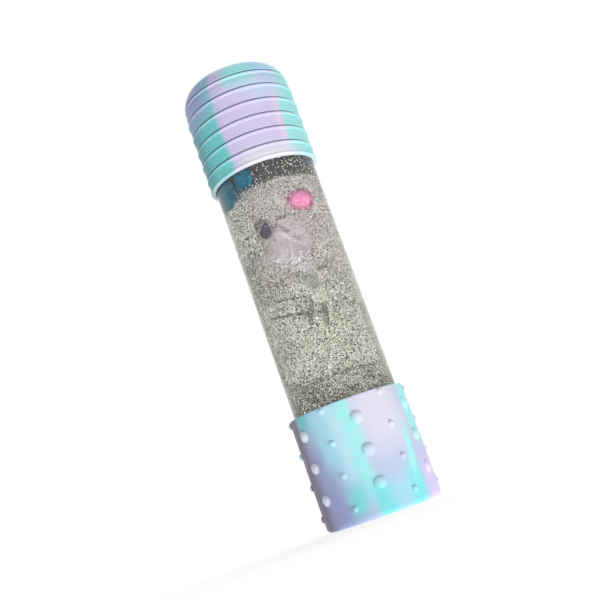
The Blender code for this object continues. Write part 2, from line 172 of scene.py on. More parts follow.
class Graph:
    """A node tree, with short calls that add nodes to it and join them."""

    def __init__(self, tree: NodeTree) -> None:
        """Take the tree to work in."""
        self.tree = tree

    def add(self, kind: str, feeds: dict[Any, Any] | None = None, **settings: Any) -> Node:
        """Add a node.

        Args:
            kind: Blender's name for the type of node.
            feeds: What each input gets, by its name or its place: a socket or a value.
            settings: The node's own properties.

        Returns:
            The new node.
        """
        node = self.tree.nodes.new(kind)
        for name, value in settings.items():
            setattr(node, name, value)
        for key, value in (feeds or {}).items():
            self.feed(node.inputs[key], value)
        return node

    def first(self, kind: str, feeds: dict[Any, Any] | None = None, **settings: Any) -> NodeSocket:
        """Add a node as add does, and return its first output."""
        node = self.add(kind, feeds, **settings)
        return node.outputs[0]

    def feed(self, socket: NodeSocket, value: Any) -> None:
        """Give an input a value, or join it to another node's output.

        Args:
            socket: The input.
            value: A value, or the output that it comes from.
        """
        if isinstance(value, NodeSocket):
            self.tree.links.new(value, socket)
        else:
            socket.default_value = value

    def math(self, operation: str, *values: Any, clamp: bool = False) -> NodeSocket:
        """Add a sum of sockets or numbers, kept from 0 to 1 if it is clamped, and return its result."""
        feeds = dict(enumerate(values))
        return self.first("ShaderNodeMath", feeds, operation=operation, use_clamp=clamp)

    def squares(self, one: Any, other: Any) -> NodeSocket:
        """Add the sum of two numbers' squares, and return it."""
        return self.math("ADD", self.math("POWER", one, 2.0), self.math("POWER", other, 2.0))

    def vector(self, operation: str, *values: Any) -> NodeSocket:
        """Add a sum of vectors, and return the resulting vector."""
        return self.first("ShaderNodeVectorMath", dict(enumerate(values)), operation=operation)

    def scaled(self, vector: Any, share: Any) -> NodeSocket:
        """Add the product of a vector and a number, and return it."""
        return self.first("ShaderNodeVectorMath", {0: vector, "Scale": share}, operation="SCALE")

    def length(self, vector: Any) -> NodeSocket:
        """Add a vector's length, and return it."""
        return self.add("ShaderNodeVectorMath", {0: vector}, operation="LENGTH").outputs["Value"]

    def blend(self, factor: Any, under: Any, over: Any, mode: str = "MIX") -> NodeSocket:
        """Add a mix of two colours by the second one's share, and return it."""
        feeds = {0: factor, 6: under, 7: over}
        return self.add("ShaderNodeMix", feeds, data_type="RGBA", blend_type=mode).outputs[2]

    def ease(self, value: Any, low: Any, high: Any, start: Any = 0.0, end: Any = 1.0) -> NodeSocket:
        """Add a smooth change from start, up to low, to end, from high on, and return it."""
        feeds = dict(enumerate((value, low, high, start, end)))
        return self.first("ShaderNodeMapRange", feeds, interpolation_type="SMOOTHSTEP")

    def noise(self, place: Any, scale: Any, detail: float, **more: float) -> NodeSocket:
        """Add cloudy noise of so many waves a metre, and return its level."""
        feeds = {"Vector": place, "Scale": scale, "Detail": detail}
        return self.add("ShaderNodeTexNoise", feeds | more).outputs["Fac"]

    def split(self, vector: Any) -> Sequence[NodeSocket]:
        """Add the parting of a vector, and return its X, Y and Z."""
        return self.add("ShaderNodeSeparateXYZ", {0: vector}).outputs

    def join(self, x: Any, y: Any, z: Any) -> NodeSocket:
        """Add the joining of three numbers, and return the vector."""
        return self.first("ShaderNodeCombineXYZ", {0: x, 1: y, 2: z})

    def random(self, low: Any, high: Any, seed: Any) -> NodeSocket:
        """Add a random number between two others for each point, by a fixed seed, and return it."""
        return self.add("FunctionNodeRandomValue", {2: low, 3: high, 8: seed}, data_type="FLOAT").outputs[1]

    def bearing(self, place: Sequence[NodeSocket]) -> NodeSocket:
        """Add the angle from the front of a point's X, Y and Z, and return it."""
        return self.math("ARCTAN2", place["X"], self.math("MULTIPLY", place["Y"], -1.0))

    def round_axis(self, radius: Any, angle: Any, height: Any) -> NodeSocket:
        """Add a point on a circle about the bottle's axis.

        Args:
            radius: Its distance from the axis.
            angle: Its angle from the front, in radians.
            height: Its height.

        Returns:
            The point.
        """
        across = self.math("MULTIPLY", radius, self.math("SINE", angle))
        deep = self.math("MULTIPLY", radius, self.math("COSINE", angle))
        return self.join(across, self.math("MULTIPLY", deep, -1.0), height)


class ShapeTree:
    """A Geometry Nodes tree with named inputs, which objects wear as a modifier.

    Attributes:
        label: Name of the tree.
        wholes: Names of its inputs that are whole numbers.
        floats: Names of its inputs that are other numbers.
    """

    label: str
    wholes: tuple[str, ...]
    floats: tuple[str, ...]

    def __init__(self) -> None:
        """Build the tree."""
        self.tree = bpy.data.node_groups.new(self.label, "GeometryNodeTree")
        self.graph = Graph(self.tree)
        face = self.tree.interface
        face.new_socket("Geometry", in_out="INPUT", socket_type=Kind.SHAPE.value)
        kinds = dict.fromkeys(self.wholes, Kind.WHOLE) | dict.fromkeys(self.floats, Kind.FLOAT)
        self.keys = {}
        for name, kind in (kinds | {"Material": Kind.FINISH}).items():
            self.keys[name] = face.new_socket(name, in_out="INPUT", socket_type=kind.value).identifier
        face.new_socket("Geometry", in_out="OUTPUT", socket_type=Kind.SHAPE.value)
        self.given = self.graph.add("NodeGroupInput").outputs
        self.close(self.grow())

    def grow(self) -> NodeSocket:
        """Add the nodes that make the shape, and return its geometry."""
        raise NotImplementedError

    def close(self, shape: NodeSocket) -> None:
        """End the tree in Realize Instances and Set Material.

        Args:
            shape: The geometry that the tree has made.
        """
        real = self.graph.first("GeometryNodeRealizeInstances", {0: shape})
        feeds = {"Geometry": real, "Material": self.given["Material"]}
        self.graph.add("NodeGroupOutput", {0: self.graph.first("GeometryNodeSetMaterial", feeds)})

    def strew(self, points: Any, piece: Any, facing: Any, lean: Any, size: Any) -> NodeSocket:
        """Put a copy of a piece on each point, beside what the object already has.

        Args:
            points: The points.
            piece: The piece.
            facing: Which way each copy faces.
            lean: How far it leans from there, as three angles.
            size: Its size, as a share of the piece's.

        Returns:
            The geometry.
        """
        g = self.graph
        by = g.first("FunctionNodeEulerToRotation", {0: lean})
        feeds = {"Rotation": facing, "Rotate By": by}
        turn = g.first("FunctionNodeRotateRotation", feeds, rotation_space="LOCAL")
        feeds = {"Points": points, "Instance": piece, "Rotation": turn, "Scale": g.join(size, size, size)}
        copies = g.first("GeometryNodeInstanceOnPoints", feeds)
        whole = g.add("GeometryNodeJoinGeometry")
        for part in (self.given["Geometry"], copies):
            g.feed(whole.inputs[0], part)
        return whole.outputs[0]

    def wear(self, obj: Object, material: Material, **values: Any) -> None:
        """Put the tree on an object.

        Args:
            obj: The object.
            material: What the shape is painted with.
            values: The other inputs, by name with _ for a space.
        """
        modifier = obj.modifiers.new(self.label, "NODES")
        modifier.node_group = self.tree
        for name, value in spaced(values | {"Material": material}).items():
            modifier[self.keys[name]] = value


class TurnedWall(ShapeTree):
    """Turns an outline about the bottle's axis, or winds it up a screw thread."""

    label = "turned_wall"
    wholes = ("Segments", "Closed")
    floats = ("Turns", "Pitch", "Phase", "Start", "Root", "Taper", "Blunt")

    def grow(self) -> NodeSocket:
        """Lay a grid on the turned outline, one row for each of its points.

        Returns:
            The turned wall.
        """
        g, given = self.graph, self.given
        count = g.add("GeometryNodeAttributeDomainSize", {0: given["Geometry"]}).outputs["Point Count"]
        rows = g.math("ADD", count, given["Closed"])
        columns = g.math("ADD", given["Segments"], 1.0)
        sizes = {"Size X": 1.0, "Size Y": 1.0, "Vertices X": columns, "Vertices Y": rows}
        grid = g.add("GeometryNodeMeshGrid", sizes).outputs["Mesh"]
        spot = g.first("GeometryNodeInputPosition")
        place = g.split(spot)
        share = g.math("ADD", place["X"], 0.5)
        row = g.math("MULTIPLY", g.math("ADD", place["Y"], 0.5), g.math("SUBTRACT", rows, 1.0))
        index = g.math("MODULO", g.math("ROUND", row), count)
        feeds = {"Geometry": given["Geometry"], "Value": spot, "Index": index}
        corner = g.split(g.first("GeometryNodeSampleIndex", feeds, data_type="FLOAT_VECTOR"))
        from_end = g.math("SUBTRACT", 0.5, g.math("ABSOLUTE", g.math("SUBTRACT", share, 0.5)))
        body = g.math("MULTIPLY_ADD", from_end, given["Taper"], given["Blunt"], clamp=True)
        reach = g.math("SUBTRACT", corner["X"], given["Root"])
        radius = g.math("MULTIPLY_ADD", reach, body, given["Root"])
        turned = g.math("MULTIPLY", share, given["Turns"])
        angle = g.math("MULTIPLY_ADD", turned, math.tau, given["Phase"])
        climb = g.math("MULTIPLY_ADD", turned, given["Pitch"], given["Start"])
        height = g.math("MULTIPLY_ADD", corner["Z"], body, climb)
        feeds = {"Geometry": grid, "Position": g.round_axis(radius, angle, height)}
        placed = g.first("GeometryNodeSetPosition", feeds)
        return g.first("GeometryNodeMergeByDistance", {"Geometry": placed, "Distance": MERGE})

    def turn(
        self, name: str, points: Sequence[Spot], material: Material, segments: int, closed: bool = False
    ) -> Object:
        """Make an object that turns an outline once round.

        Args:
            name: Name of the object.
            points: The outline.
            material: Its finish.
            segments: Steps round the axis.
            closed: Whether the last point joins the first.

        Returns:
            The object.
        """
        obj = from_outline(name, points)
        level = dict.fromkeys(("Pitch", "Phase", "Start", "Root", "Taper"), 0.0)
        self.wear(obj, material, Segments=segments, Closed=int(closed), Turns=1.0, Blunt=1.0, **level)
        return obj


class BumpField(ShapeTree):
    """Sets rounded bumps on a round wall, in even columns and rows, and joins them to it."""

    label = "bump_field"
    wholes = ("Columns", "Rows", "Detail")
    floats = ("First Angle", "Lowest", "Row Pitch", "Wall Radius", "Bump Radius", "Bump Depth")
    sides = 32
    stem = 0.0010
    sink = 0.0001

    def cap(self) -> NodeSocket:
        """Add one bump, a cap of a ball on a short stem that faces the front.

        Returns:
            The bump.
        """
        g, given = self.graph, self.given
        radius, rise = given["Bump Radius"], given["Bump Depth"]
        feeds = {"Vertices": self.sides, "Side Segments": 1, "Radius": radius}
        feeds["Fill Segments"] = given["Detail"]
        stem = g.first("GeometryNodeMeshCylinder", feeds, fill_type="TRIANGLE_FAN")
        ball = g.math("DIVIDE", g.squares(radius, rise), g.math("MULTIPLY", rise, 2.0))
        place = g.split(g.first("GeometryNodeInputPosition"))
        off = g.squares(place["X"], place["Y"])
        dome = g.math("SQRT", g.math("SUBTRACT", g.math("POWER", ball, 2.0), off))
        dome = g.math("ADD", g.math("SUBTRACT", dome, ball), rise)
        top = g.math("GREATER_THAN", place["Z"], 0.0)
        lift = g.math("ADD", dome, self.stem - self.sink)
        inward = g.math("SUBTRACT", self.stem, g.math("MULTIPLY", top, lift))
        spots = g.join(place["X"], inward, place["Y"])
        return g.first("GeometryNodeSetPosition", {"Geometry": stem, "Position": spots})

    def grow(self) -> NodeSocket:
        """Place a bump at each spot and unite them with the wall.

        Returns:
            The bumpy wall.
        """
        g, given = self.graph, self.given
        index = g.first("GeometryNodeInputIndex")
        column = g.math("MODULO", index, given["Columns"])
        row = g.math("FLOOR", g.math("DIVIDE", index, given["Columns"]))
        step = g.math("DIVIDE", math.tau, given["Columns"])
        angle = g.math("MULTIPLY_ADD", column, step, given["First Angle"])
        height = g.math("MULTIPLY_ADD", row, given["Row Pitch"], given["Lowest"])
        spots = g.round_axis(given["Wall Radius"], angle, height)
        count = g.math("MULTIPLY", given["Columns"], given["Rows"])
        points = g.first("GeometryNodePoints", {"Count": count, "Position": spots})
        turn = g.first("FunctionNodeEulerToRotation", {0: g.join(0.0, 0.0, angle)})
        feeds = {"Points": points, "Instance": self.cap(), "Rotation": turn}
        bumps = g.first("GeometryNodeInstanceOnPoints", feeds)
        real = g.first("GeometryNodeRealizeInstances", {0: bumps})
        union = g.add("GeometryNodeMeshBoolean", operation="UNION", solver="EXACT")
        g.feed(union.inputs[1], given["Geometry"])
        g.feed(union.inputs[1], real)
        return union.outputs[0]


@dataclass(frozen=True)
class Clearing:
    """An oval in front of a treasure or along a swirl, where fewer flakes drift.

    Attributes:
        angle: Its middle, in degrees.
        height: Its middle.
        half_width: Half its width.
        half_height: Half its height.
        keep: Share of the flakes that stay.
        lean: Degrees that it drifts round for each millimetre up.
    """

    angle: float
    height: float
    half_width: float
    half_height: float
    keep: float
    lean: float = 0.0


class GlitterScatter(ShapeTree):
    """Scatters six-sided flakes through a ring of the liquid, thinly in front of the treasures."""

    label = "glitter_scatter"
    wholes = ("Count", "Seed")
    floats = ("Inner", "Outer", "From", "To", "Foot", "Top", "Flake", "Tilt", "Thin From", "Thin Share")
    thin_over = 0.020
    shade = (0.171, 0.181)
    shade_share = 0.75
    rim = (0.75, 1.25)
    sides = 6
    sizes = (0.75, 1.0)

    def __init__(self, clearings: Sequence[Clearing], wall: float) -> None:
        """Build the tree.

        Args:
            clearings: Where fewer flakes drift.
            wall: Radius at which their widths are measured.
        """
        self.clearings = clearings
        self.wall = wall
        super().__init__()

    def share_kept(self) -> NodeSocket:
        """Add the share of flakes that stay at a point.

        Returns:
            The share.
        """
        g, given = self.graph, self.given
        place = g.split(g.first("GeometryNodeInputPosition"))
        angle = g.bearing(place)
        high = g.math("ADD", given["Thin From"], self.thin_over)
        kept = g.ease(place["Z"], given["Thin From"], high, 1.0, given["Thin Share"])
        kept = g.math("MULTIPLY", kept, g.ease(place["Z"], *self.shade, 1.0, self.shade_share))
        for clearing in self.clearings:
            lean, start = math.radians(clearing.lean) / MM, math.radians(clearing.angle)
            rise = g.math("SUBTRACT", place["Z"], clearing.height)
            middle = g.math("MULTIPLY_ADD", rise, lean, start)
            off = g.math("WRAP", g.math("SUBTRACT", angle, middle), math.pi, -math.pi)
            across = g.math("MULTIPLY", off, self.wall / clearing.half_width)
            far = g.math("SQRT", g.squares(across, g.math("DIVIDE", rise, clearing.half_height)))
            kept = g.math("MULTIPLY", kept, g.ease(far, *self.rim, clearing.keep, 1.0))
        return kept

    def grow(self) -> NodeSocket:
        """Scatter the flakes and add them to what the object already has.

        Returns:
            The flakes, with what the object already has.
        """
        g, given = self.graph, self.given
        seeds = [g.math("ADD", given["Seed"], float(k)) for k in range(8)]
        radius = g.random(given["Inner"], given["Outer"], seeds[0])
        angle = g.random(given["From"], given["To"], seeds[1])
        spots = g.round_axis(radius, angle, g.random(given["Foot"], given["Top"], seeds[2]))
        points = g.first("GeometryNodePoints", {"Count": given["Count"], "Position": spots})
        spare = g.math("GREATER_THAN", g.random(0.0, 1.0, seeds[3]), self.share_kept())
        feeds = {"Geometry": points, "Selection": spare}
        points = g.first("GeometryNodeDeleteGeometry", feeds, domain="POINT")
        feeds = {"Vertices": self.sides, "Radius": given["Flake"]}
        flake = g.first("GeometryNodeMeshCircle", feeds, fill_type="NGON")
        out = g.vector("MULTIPLY", g.first("GeometryNodeInputPosition"), FLAT)
        facing = g.first("FunctionNodeAlignRotationToVector", {"Vector": out}, axis="Z")
        back = g.math("MULTIPLY", given["Tilt"], -1.0)
        tilts = [g.random(back, given["Tilt"], seed) for seed in seeds[4:6]]
        lean = g.join(*tilts, g.random(0.0, math.tau, seeds[6]))
        return self.strew(points, flake, facing, lean, g.random(*self.sizes, seeds[7]))


class PompomFibres(ShapeTree):
    """Stands fine tapered fibres on a ball."""

    label = "pompom_fibres"
    wholes = ("Seed",)
    floats = ("Density", "Length", "Thickness", "Lean")
    sides = 4
    sizes = (0.55, 1.0)

    def grow(self) -> NodeSocket:
        """Plant the fibres at random spots, each leaning its own way.

        Returns:
            The ball with its fibres.
        """
        g, given = self.graph, self.given
        feeds = {"Mesh": given["Geometry"], "Density": given["Density"], "Seed": given["Seed"]}
        spots = g.add("GeometryNodeDistributePointsOnFaces", feeds).outputs
        feeds = {"Vertices": self.sides, "Radius Top": MERGE, "Radius Bottom": given["Thickness"]}
        fibre = g.first("GeometryNodeMeshCone", feeds | {"Depth": given["Length"]}, fill_type="NONE")
        back = g.math("MULTIPLY", given["Lean"], -1.0)
        seeds = [g.math("ADD", given["Seed"], float(k)) for k in range(1, 4)]
        leans = [g.random(back, given["Lean"], seed) for seed in seeds[:2]]
        size = g.random(*self.sizes, seeds[2])
        return self.strew(spots["Points"], fibre, spots["Rotation"], g.join(*leans, 0.0), size)


class Effect:
    """A shader node group with named inputs and outputs, which several finishes share."""

    kinds = {"Position": Kind.VECTOR, "Normal": Kind.VECTOR, "Colour": Kind.COLOUR, "Dye": Kind.COLOUR}

    def __init__(self, name: str, inputs: Sequence[str], outputs: Sequence[str]) -> None:
        """Start the group.

        Args:
            name: Name of the group.
            inputs: Names of its inputs.
            outputs: Names of its outputs.
        """
        self.tree = bpy.data.node_groups.new(name, "ShaderNodeTree")
        for side, labels in (("INPUT", inputs), ("OUTPUT", outputs)):
            for label in labels:
                kind = self.kinds.get(label, Kind.FLOAT)
                self.tree.interface.new_socket(label, in_out=side, socket_type=kind.value)
        self.graph = Graph(self.tree)
        self.given = self.graph.add("NodeGroupInput").outputs

    def put_out(self, **results: Any) -> None:
        """Join the results to the group's outputs, by name with _ for a space."""
        self.graph.add("NodeGroupOutput", spaced(results))

    def place(self, graph: Graph, **feeds: Any) -> Sequence[NodeSocket]:
        """Use the group in a finish, with its inputs by name and _ for a space, and return its outputs."""
        return graph.add("ShaderNodeGroup", spaced(feeds), node_tree=self.tree).outputs


class Effects:
    """The shared effects, each built once."""

    def __init__(self) -> None:
        """Build every effect."""
        self.wrap = self.make_wrap()
        self.streak = self.make_streak()
        self.grain = self.make_grain()
        self.flakes = self.make_flakes()

    @staticmethod
    def make_wrap() -> Effect:
        """Make the angle and height of a point on the bottle, warped by slow noise.

        Returns:
            The effect.
        """
        effect = Effect("wrap_coordinates", ("Position", "Warp", "Scale"), ("Around", "Along"))
        g, given = effect.graph, effect.given
        feeds = {"Vector": given["Position"], "Scale": given["Scale"], "Detail": 3.0, "Roughness": 0.55}
        drift = g.vector("SUBTRACT", g.add("ShaderNodeTexNoise", feeds).outputs["Color"], (0.5, 0.5, 0.5))
        place = g.split(g.vector("ADD", given["Position"], g.scaled(drift, given["Warp"])))
        effect.put_out(Around=g.bearing(place), Along=place["Z"])
        return effect

    @staticmethod
    def make_streak() -> Effect:
        """Make one leaning streak of dye over a colour.

        Returns:
            The effect.
        """
        inputs = ("Colour", "Dye", "Around", "Along", "Angle", "Height", "Lean")
        inputs += ("Half Width", "Half Length", "Softness")
        effect = Effect("dye_streak", inputs, ("Colour",))
        g, given = effect.graph, effect.given
        rise = g.math("SUBTRACT", given["Along"], given["Height"])
        middle = g.math("MULTIPLY_ADD", rise, given["Lean"], given["Angle"])
        off = g.math("WRAP", g.math("SUBTRACT", given["Around"], middle), math.pi, -math.pi)
        across = g.math("DIVIDE", g.math("ABSOLUTE", off), given["Half Width"])
        along = g.math("DIVIDE", g.math("ABSOLUTE", rise), given["Half Length"])
        inside = g.math("SUBTRACT", 1.0, given["Softness"])
        outside = g.math("ADD", 1.0, given["Softness"])
        cover = [g.ease(share, inside, outside, 1.0, 0.0) for share in (across, along)]
        effect.put_out(Colour=g.blend(g.math("MULTIPLY", *cover), given["Colour"], given["Dye"]))
        return effect

    @staticmethod
    def make_grain() -> Effect:
        """Make the fine moulded grain of a surface: its height and its uneven shine.

        Returns:
            The effect.
        """
        inputs = ("Position", "Grain", "Roughness", "Spread")
        effect = Effect("fine_grain", inputs, ("Height", "Roughness"))
        g, given = effect.graph, effect.given
        scale = g.math("DIVIDE", 1.0, given["Grain"])
        patch = g.noise(given["Position"], g.math("MULTIPLY", scale, 0.06), 2.0)
        shine = g.math("MULTIPLY_ADD", g.math("SUBTRACT", patch, 0.5), given["Spread"], given["Roughness"])
        effect.put_out(Height=g.noise(given["Position"], scale, 2.0), Roughness=shine)
        return effect

    @staticmethod
    def make_flakes() -> Effect:
        """Make packed glitter: a random shade and a tilted normal for each flake.

        Returns:
            The effect.
        """
        effect = Effect("packed_flakes", ("Position", "Flake", "Tilt"), ("Shade", "Sparkle", "Normal"))
        g, given = effect.graph, effect.given
        scale = g.math("DIVIDE", 1.0, given["Flake"])
        cells = g.add("ShaderNodeTexVoronoi", {"Vector": given["Position"], "Scale": scale}).outputs["Color"]
        shades = g.split(cells)
        lean = g.scaled(g.vector("SUBTRACT", cells, (0.5, 0.5, 0.5)), given["Tilt"])
        normal = g.vector("ADD", g.add("ShaderNodeNewGeometry").outputs["Normal"], lean)
        effect.put_out(Shade=shades["X"], Sparkle=shades["Y"], Normal=g.vector("NORMALIZE", normal))
        return effect


@dataclass(frozen=True)
class Streak:
    """One streak of dye.

    Attributes:
        dye: Its dye.
        angle: Its middle round the bottle, in degrees.
        height: Its middle, in millimetres above the foot.
        half_width: Half its width at one height, in degrees.
        half_length: Half its length, in millimetres.
        lean: Degrees that it drifts round for each millimetre up.
        softness: Share of its half sizes over which its edge fades.
    """

    dye: Tint
    angle: float
    height: float
    half_width: float
    half_length: float
    lean: float = 0.0
    softness: float = 0.4


@dataclass(frozen=True)
class Swirl(Streak):
    """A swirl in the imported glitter, softer at its edge than a streak of dye."""

    softness: float = 0.7


class Coat(Graph):
    """A new material's nodes."""

    def __init__(self, name: str, effects: Effects | None = None) -> None:
        """Start the material.

        Args:
            name: Its name.
            effects: The shared effects, if it uses any.
        """
        self.material = bpy.data.materials.new(name)
        self.material.use_nodes = True
        self.effects = effects
        super().__init__(self.material.node_tree)
        self.shader = self.tree.nodes["Principled BSDF"]

    @cached_property
    def place(self) -> NodeSocket:
        """The point on the piece."""
        return self.add("ShaderNodeTexCoord").outputs["Object"]

    @cached_property
    def height(self) -> NodeSocket:
        """Height of the point on the piece."""
        return self.split(self.place)["Z"]

    def shade(self, **feeds: Any) -> None:
        """Give the shader's inputs their values, by name with _ for a space."""
        for label, value in spaced(feeds).items():
            self.feed(self.shader.inputs[label], value)

    def grain(self, size: float, roughness: float, spread: float, emboss: float = 0.0) -> None:
        """Add the fine moulded grain, an uneven shine with a bump if it is embossed.

        Args:
            size: Size of the grain.
            roughness: How rough the surface is on average.
            spread: How far that varies.
            emboss: How strong the bump is.
        """
        effect = self.effects.grain
        grain = effect.place(self, Position=self.place, Grain=size, Roughness=roughness, Spread=spread)
        self.shade(Roughness=grain["Roughness"])
        if emboss:
            feeds = {"Strength": emboss, "Distance": GRAIN_DEPTH, "Height": grain["Height"]}
            self.shade(Normal=self.first("ShaderNodeBump", feeds))

    def marble(self, streaks: Sequence[Streak], warp: float, scale: float, colour: Any) -> NodeSocket:
        """Lay streaks over a colour.

        Args:
            streaks: The streaks, from the lowest layer up.
            warp: How far slow noise bends them.
            scale: How fine that noise is, in waves a metre.
            colour: The colour under them.

        Returns:
            The streaked colour.
        """
        spot = self.effects.wrap.place(self, Position=self.place, Warp=warp, Scale=scale)
        for streak in streaks:
            colour = self.effects.streak.place(
                self,
                Colour=colour,
                Dye=streak.dye.colour,
                Around=spot["Around"],
                Along=spot["Along"],
                Angle=math.radians(streak.angle),
                Height=streak.height * MM,
                Lean=math.radians(streak.lean) / MM,
                Half_Width=math.radians(streak.half_width),
                Half_Length=streak.half_length * MM,
                Softness=streak.softness,
            )["Colour"]
        return colour

    def pass_lamps(self, surface: NodeSocket, tint: Colour = WHITE) -> None:
        """End the material in a surface that the lamps' own rays go through.

        Args:
            surface: What all other rays meet.
            tint: What tints the lamps' rays.
        """
        clear = self.first("ShaderNodeBsdfTransparent", {"Color": tint})
        lamp_ray = self.add("ShaderNodeLightPath").outputs["Is Shadow Ray"]
        mixed = self.first("ShaderNodeMixShader", {0: lamp_ray, 1: surface, 2: clear})
        self.feed(self.tree.nodes["Material Output"].inputs["Surface"], mixed)


class Finish:
    """A surface finish that builds its own material."""

    name: str

    def material(self, effects: Effects) -> Material:
        """Build the material.

        Args:
            effects: The shared effects.

        Returns:
            The material.
        """
        coat = Coat(self.name, effects)
        self.dress(coat)
        return coat.material

    def dress(self, coat: Coat) -> None:
        """Dress a new material's nodes."""
        raise NotImplementedError


@dataclass(frozen=True)
class Ribs:
    """Beads and grooves of a ribbed piece, with painted highlights on the beads and the rim and painted shade
    in the grooves.

    Attributes:
        rim: Height of the piece's rim.
        bands: Number of bands.
        pitch: Height of a band.
        bead: Height of a bead.
        groove: Half the height of a groove's shade.
        highlight_tone: Colour of the painted highlight on the beads and the rim.
        groove_shade_tone: Colour of the painted shade in the grooves.
    """

    rim: float
    bands: int
    pitch: float
    bead: float
    groove: float = 0.0004
    highlight_tone: str = "F7F6FC"
    groove_shade_tone: str = "9EA3C0"

    def dress(self, coat: Coat, colour: Any) -> NodeSocket:
        """Paint highlights on the beads and the rim, and paint shade in the grooves.

        Args:
            coat: The material's nodes.
            colour: The colour so far.

        Returns:
            The dressed colour.
        """
        height = coat.math("SUBTRACT", coat.height, self.rim)
        row = coat.math("ROUND", coat.math("DIVIDE", height, self.pitch))
        off = coat.math("MULTIPLY_ADD", row, -self.pitch, height)
        inside = coat.math("GREATER_THAN", row, 0.5)
        # Painted highlight along the crest of each bead and along the rim.
        climb = coat.ease(off, -self.bead, -self.bead * 0.7)
        crest = coat.math("MULTIPLY", climb, coat.ease(off, -self.bead * 0.5, -self.groove, 1.0, 0.0))
        rim = coat.ease(height, self.bead * 0.05, self.bead * 0.3, 0.5, 0.0)
        light = coat.math("MAXIMUM", coat.math("MULTIPLY", coat.math("MULTIPLY", crest, inside), 0.4), rim)
        colour = coat.blend(light, colour, paint(self.highlight_tone))
        # Painted shade in the grooves.
        darkening = coat.ease(coat.math("ABSOLUTE", off), self.groove * 0.5, self.groove, 1.0, 0.0)
        inside = coat.math("MULTIPLY", inside, coat.math("LESS_THAN", row, self.bands - 0.5))
        return coat.blend(coat.math("MULTIPLY", darkening, inside), colour, paint(self.groove_shade_tone), "MULTIPLY")


@dataclass(frozen=True)
class MarbledSilicone(Finish):
    """Satin silicone with dyes swirled into it.

    Attributes:
        name: Name of the material.
        ground: Dye under the streaks.
        streaks: Streaks, from the lowest layer up.
        warp: How far the slow noise bends them.
        warp_scale: How fine that noise is, in waves a metre.
        ribs: Its beads and grooves, if it has any.
        crown: Radius of the flat end, where the dyes pool.
        wall: Radius of the wall, if bumps stand on it with a painted highlight on their peaks.
        highlight_heights: Heights over the wall between which that painted highlight grows.
        highlight_side: From where to where, across the bottle, the painted highlight fades, and how strong it
            is at each end.
        grain: Size of its grain.
        roughness: How rough it is.
        spread: How far that varies.
        emboss: How strong the bump of its grain is.
    """

    name: str
    ground: Dye
    streaks: tuple[Streak, ...]
    warp: float = 0.009
    warp_scale: float = 32.0
    ribs: Ribs | None = None
    crown: float = 0.021
    wall: float | None = None
    highlight_heights: Spot = (0.0002, 0.0010)
    highlight_side: tuple[float, float, float, float] = (-0.021, -0.012, 0.75, 0.15)
    grain: float = 0.0006
    roughness: float = 0.46
    spread: float = 0.16
    emboss: float = 0.12

    @staticmethod
    def pools(coat: Coat) -> NodeSocket:
        """Add the pools of dye on the flat end, where streaks would meet in a point.

        Args:
            coat: The material's nodes.

        Returns:
            Their colour.
        """
        cloud = coat.noise(coat.place, 45.0, 1.0, Distortion=1.6)
        pooled = coat.blend(coat.ease(cloud, 0.36, 0.48), Dye.PALE_AQUA.colour, Dye.LILAC.colour)
        return coat.blend(coat.ease(cloud, 0.52, 0.62), pooled, Dye.SKY.colour)

    def dress(self, coat: Coat) -> None:
        """Lay the streaks and the pools, then the painted highlight on the bumps and the ribs' painted
        highlights and shade.

        Args:
            coat: The material's nodes.
        """
        colour = coat.marble(self.streaks, self.warp, self.warp_scale, self.ground.colour)
        reach = coat.length(coat.vector("MULTIPLY", coat.place, FLAT))
        crown = coat.ease(reach, 0.6 * self.crown, self.crown, 1.0, 0.0)
        colour = coat.blend(crown, colour, self.pools(coat))
        # Painted highlight on the bumps' peaks, strongest on the left side.
        if self.wall:
            highlight_heights = coat.ease(reach, *[self.wall + height for height in self.highlight_heights])
            highlight_side = coat.ease(coat.split(coat.place)["X"], *self.highlight_side)
            colour = coat.blend(coat.math("MULTIPLY", highlight_heights, highlight_side), colour, Dye.WHITE.colour)
        if self.ribs:
            colour = self.ribs.dress(coat, colour)
        coat.shade(Base_Color=colour)
        coat.grain(self.grain, self.roughness, self.spread, self.emboss)


@dataclass(frozen=True)
class ClearPlastic(Finish):
    """Clear glossy plastic that lets the lamps through.

    Attributes:
        name: Name of the material.
        ior: Bending of light from what lies outside the face into the plastic.
        tint: Its faint colour.
    """

    name: str
    ior: float
    tint: str = "F4F5F3"

    def dress(self, coat: Coat) -> None:
        """Bend the light, but let the lamps' rays straight through.

        Args:
            coat: The material's nodes.
        """
        tint = paint(self.tint)
        coat.shade(Base_Color=tint, Roughness=0.02, IOR=self.ior, Transmission_Weight=1.0)
        coat.pass_lamps(coat.shader.outputs[0], tint)


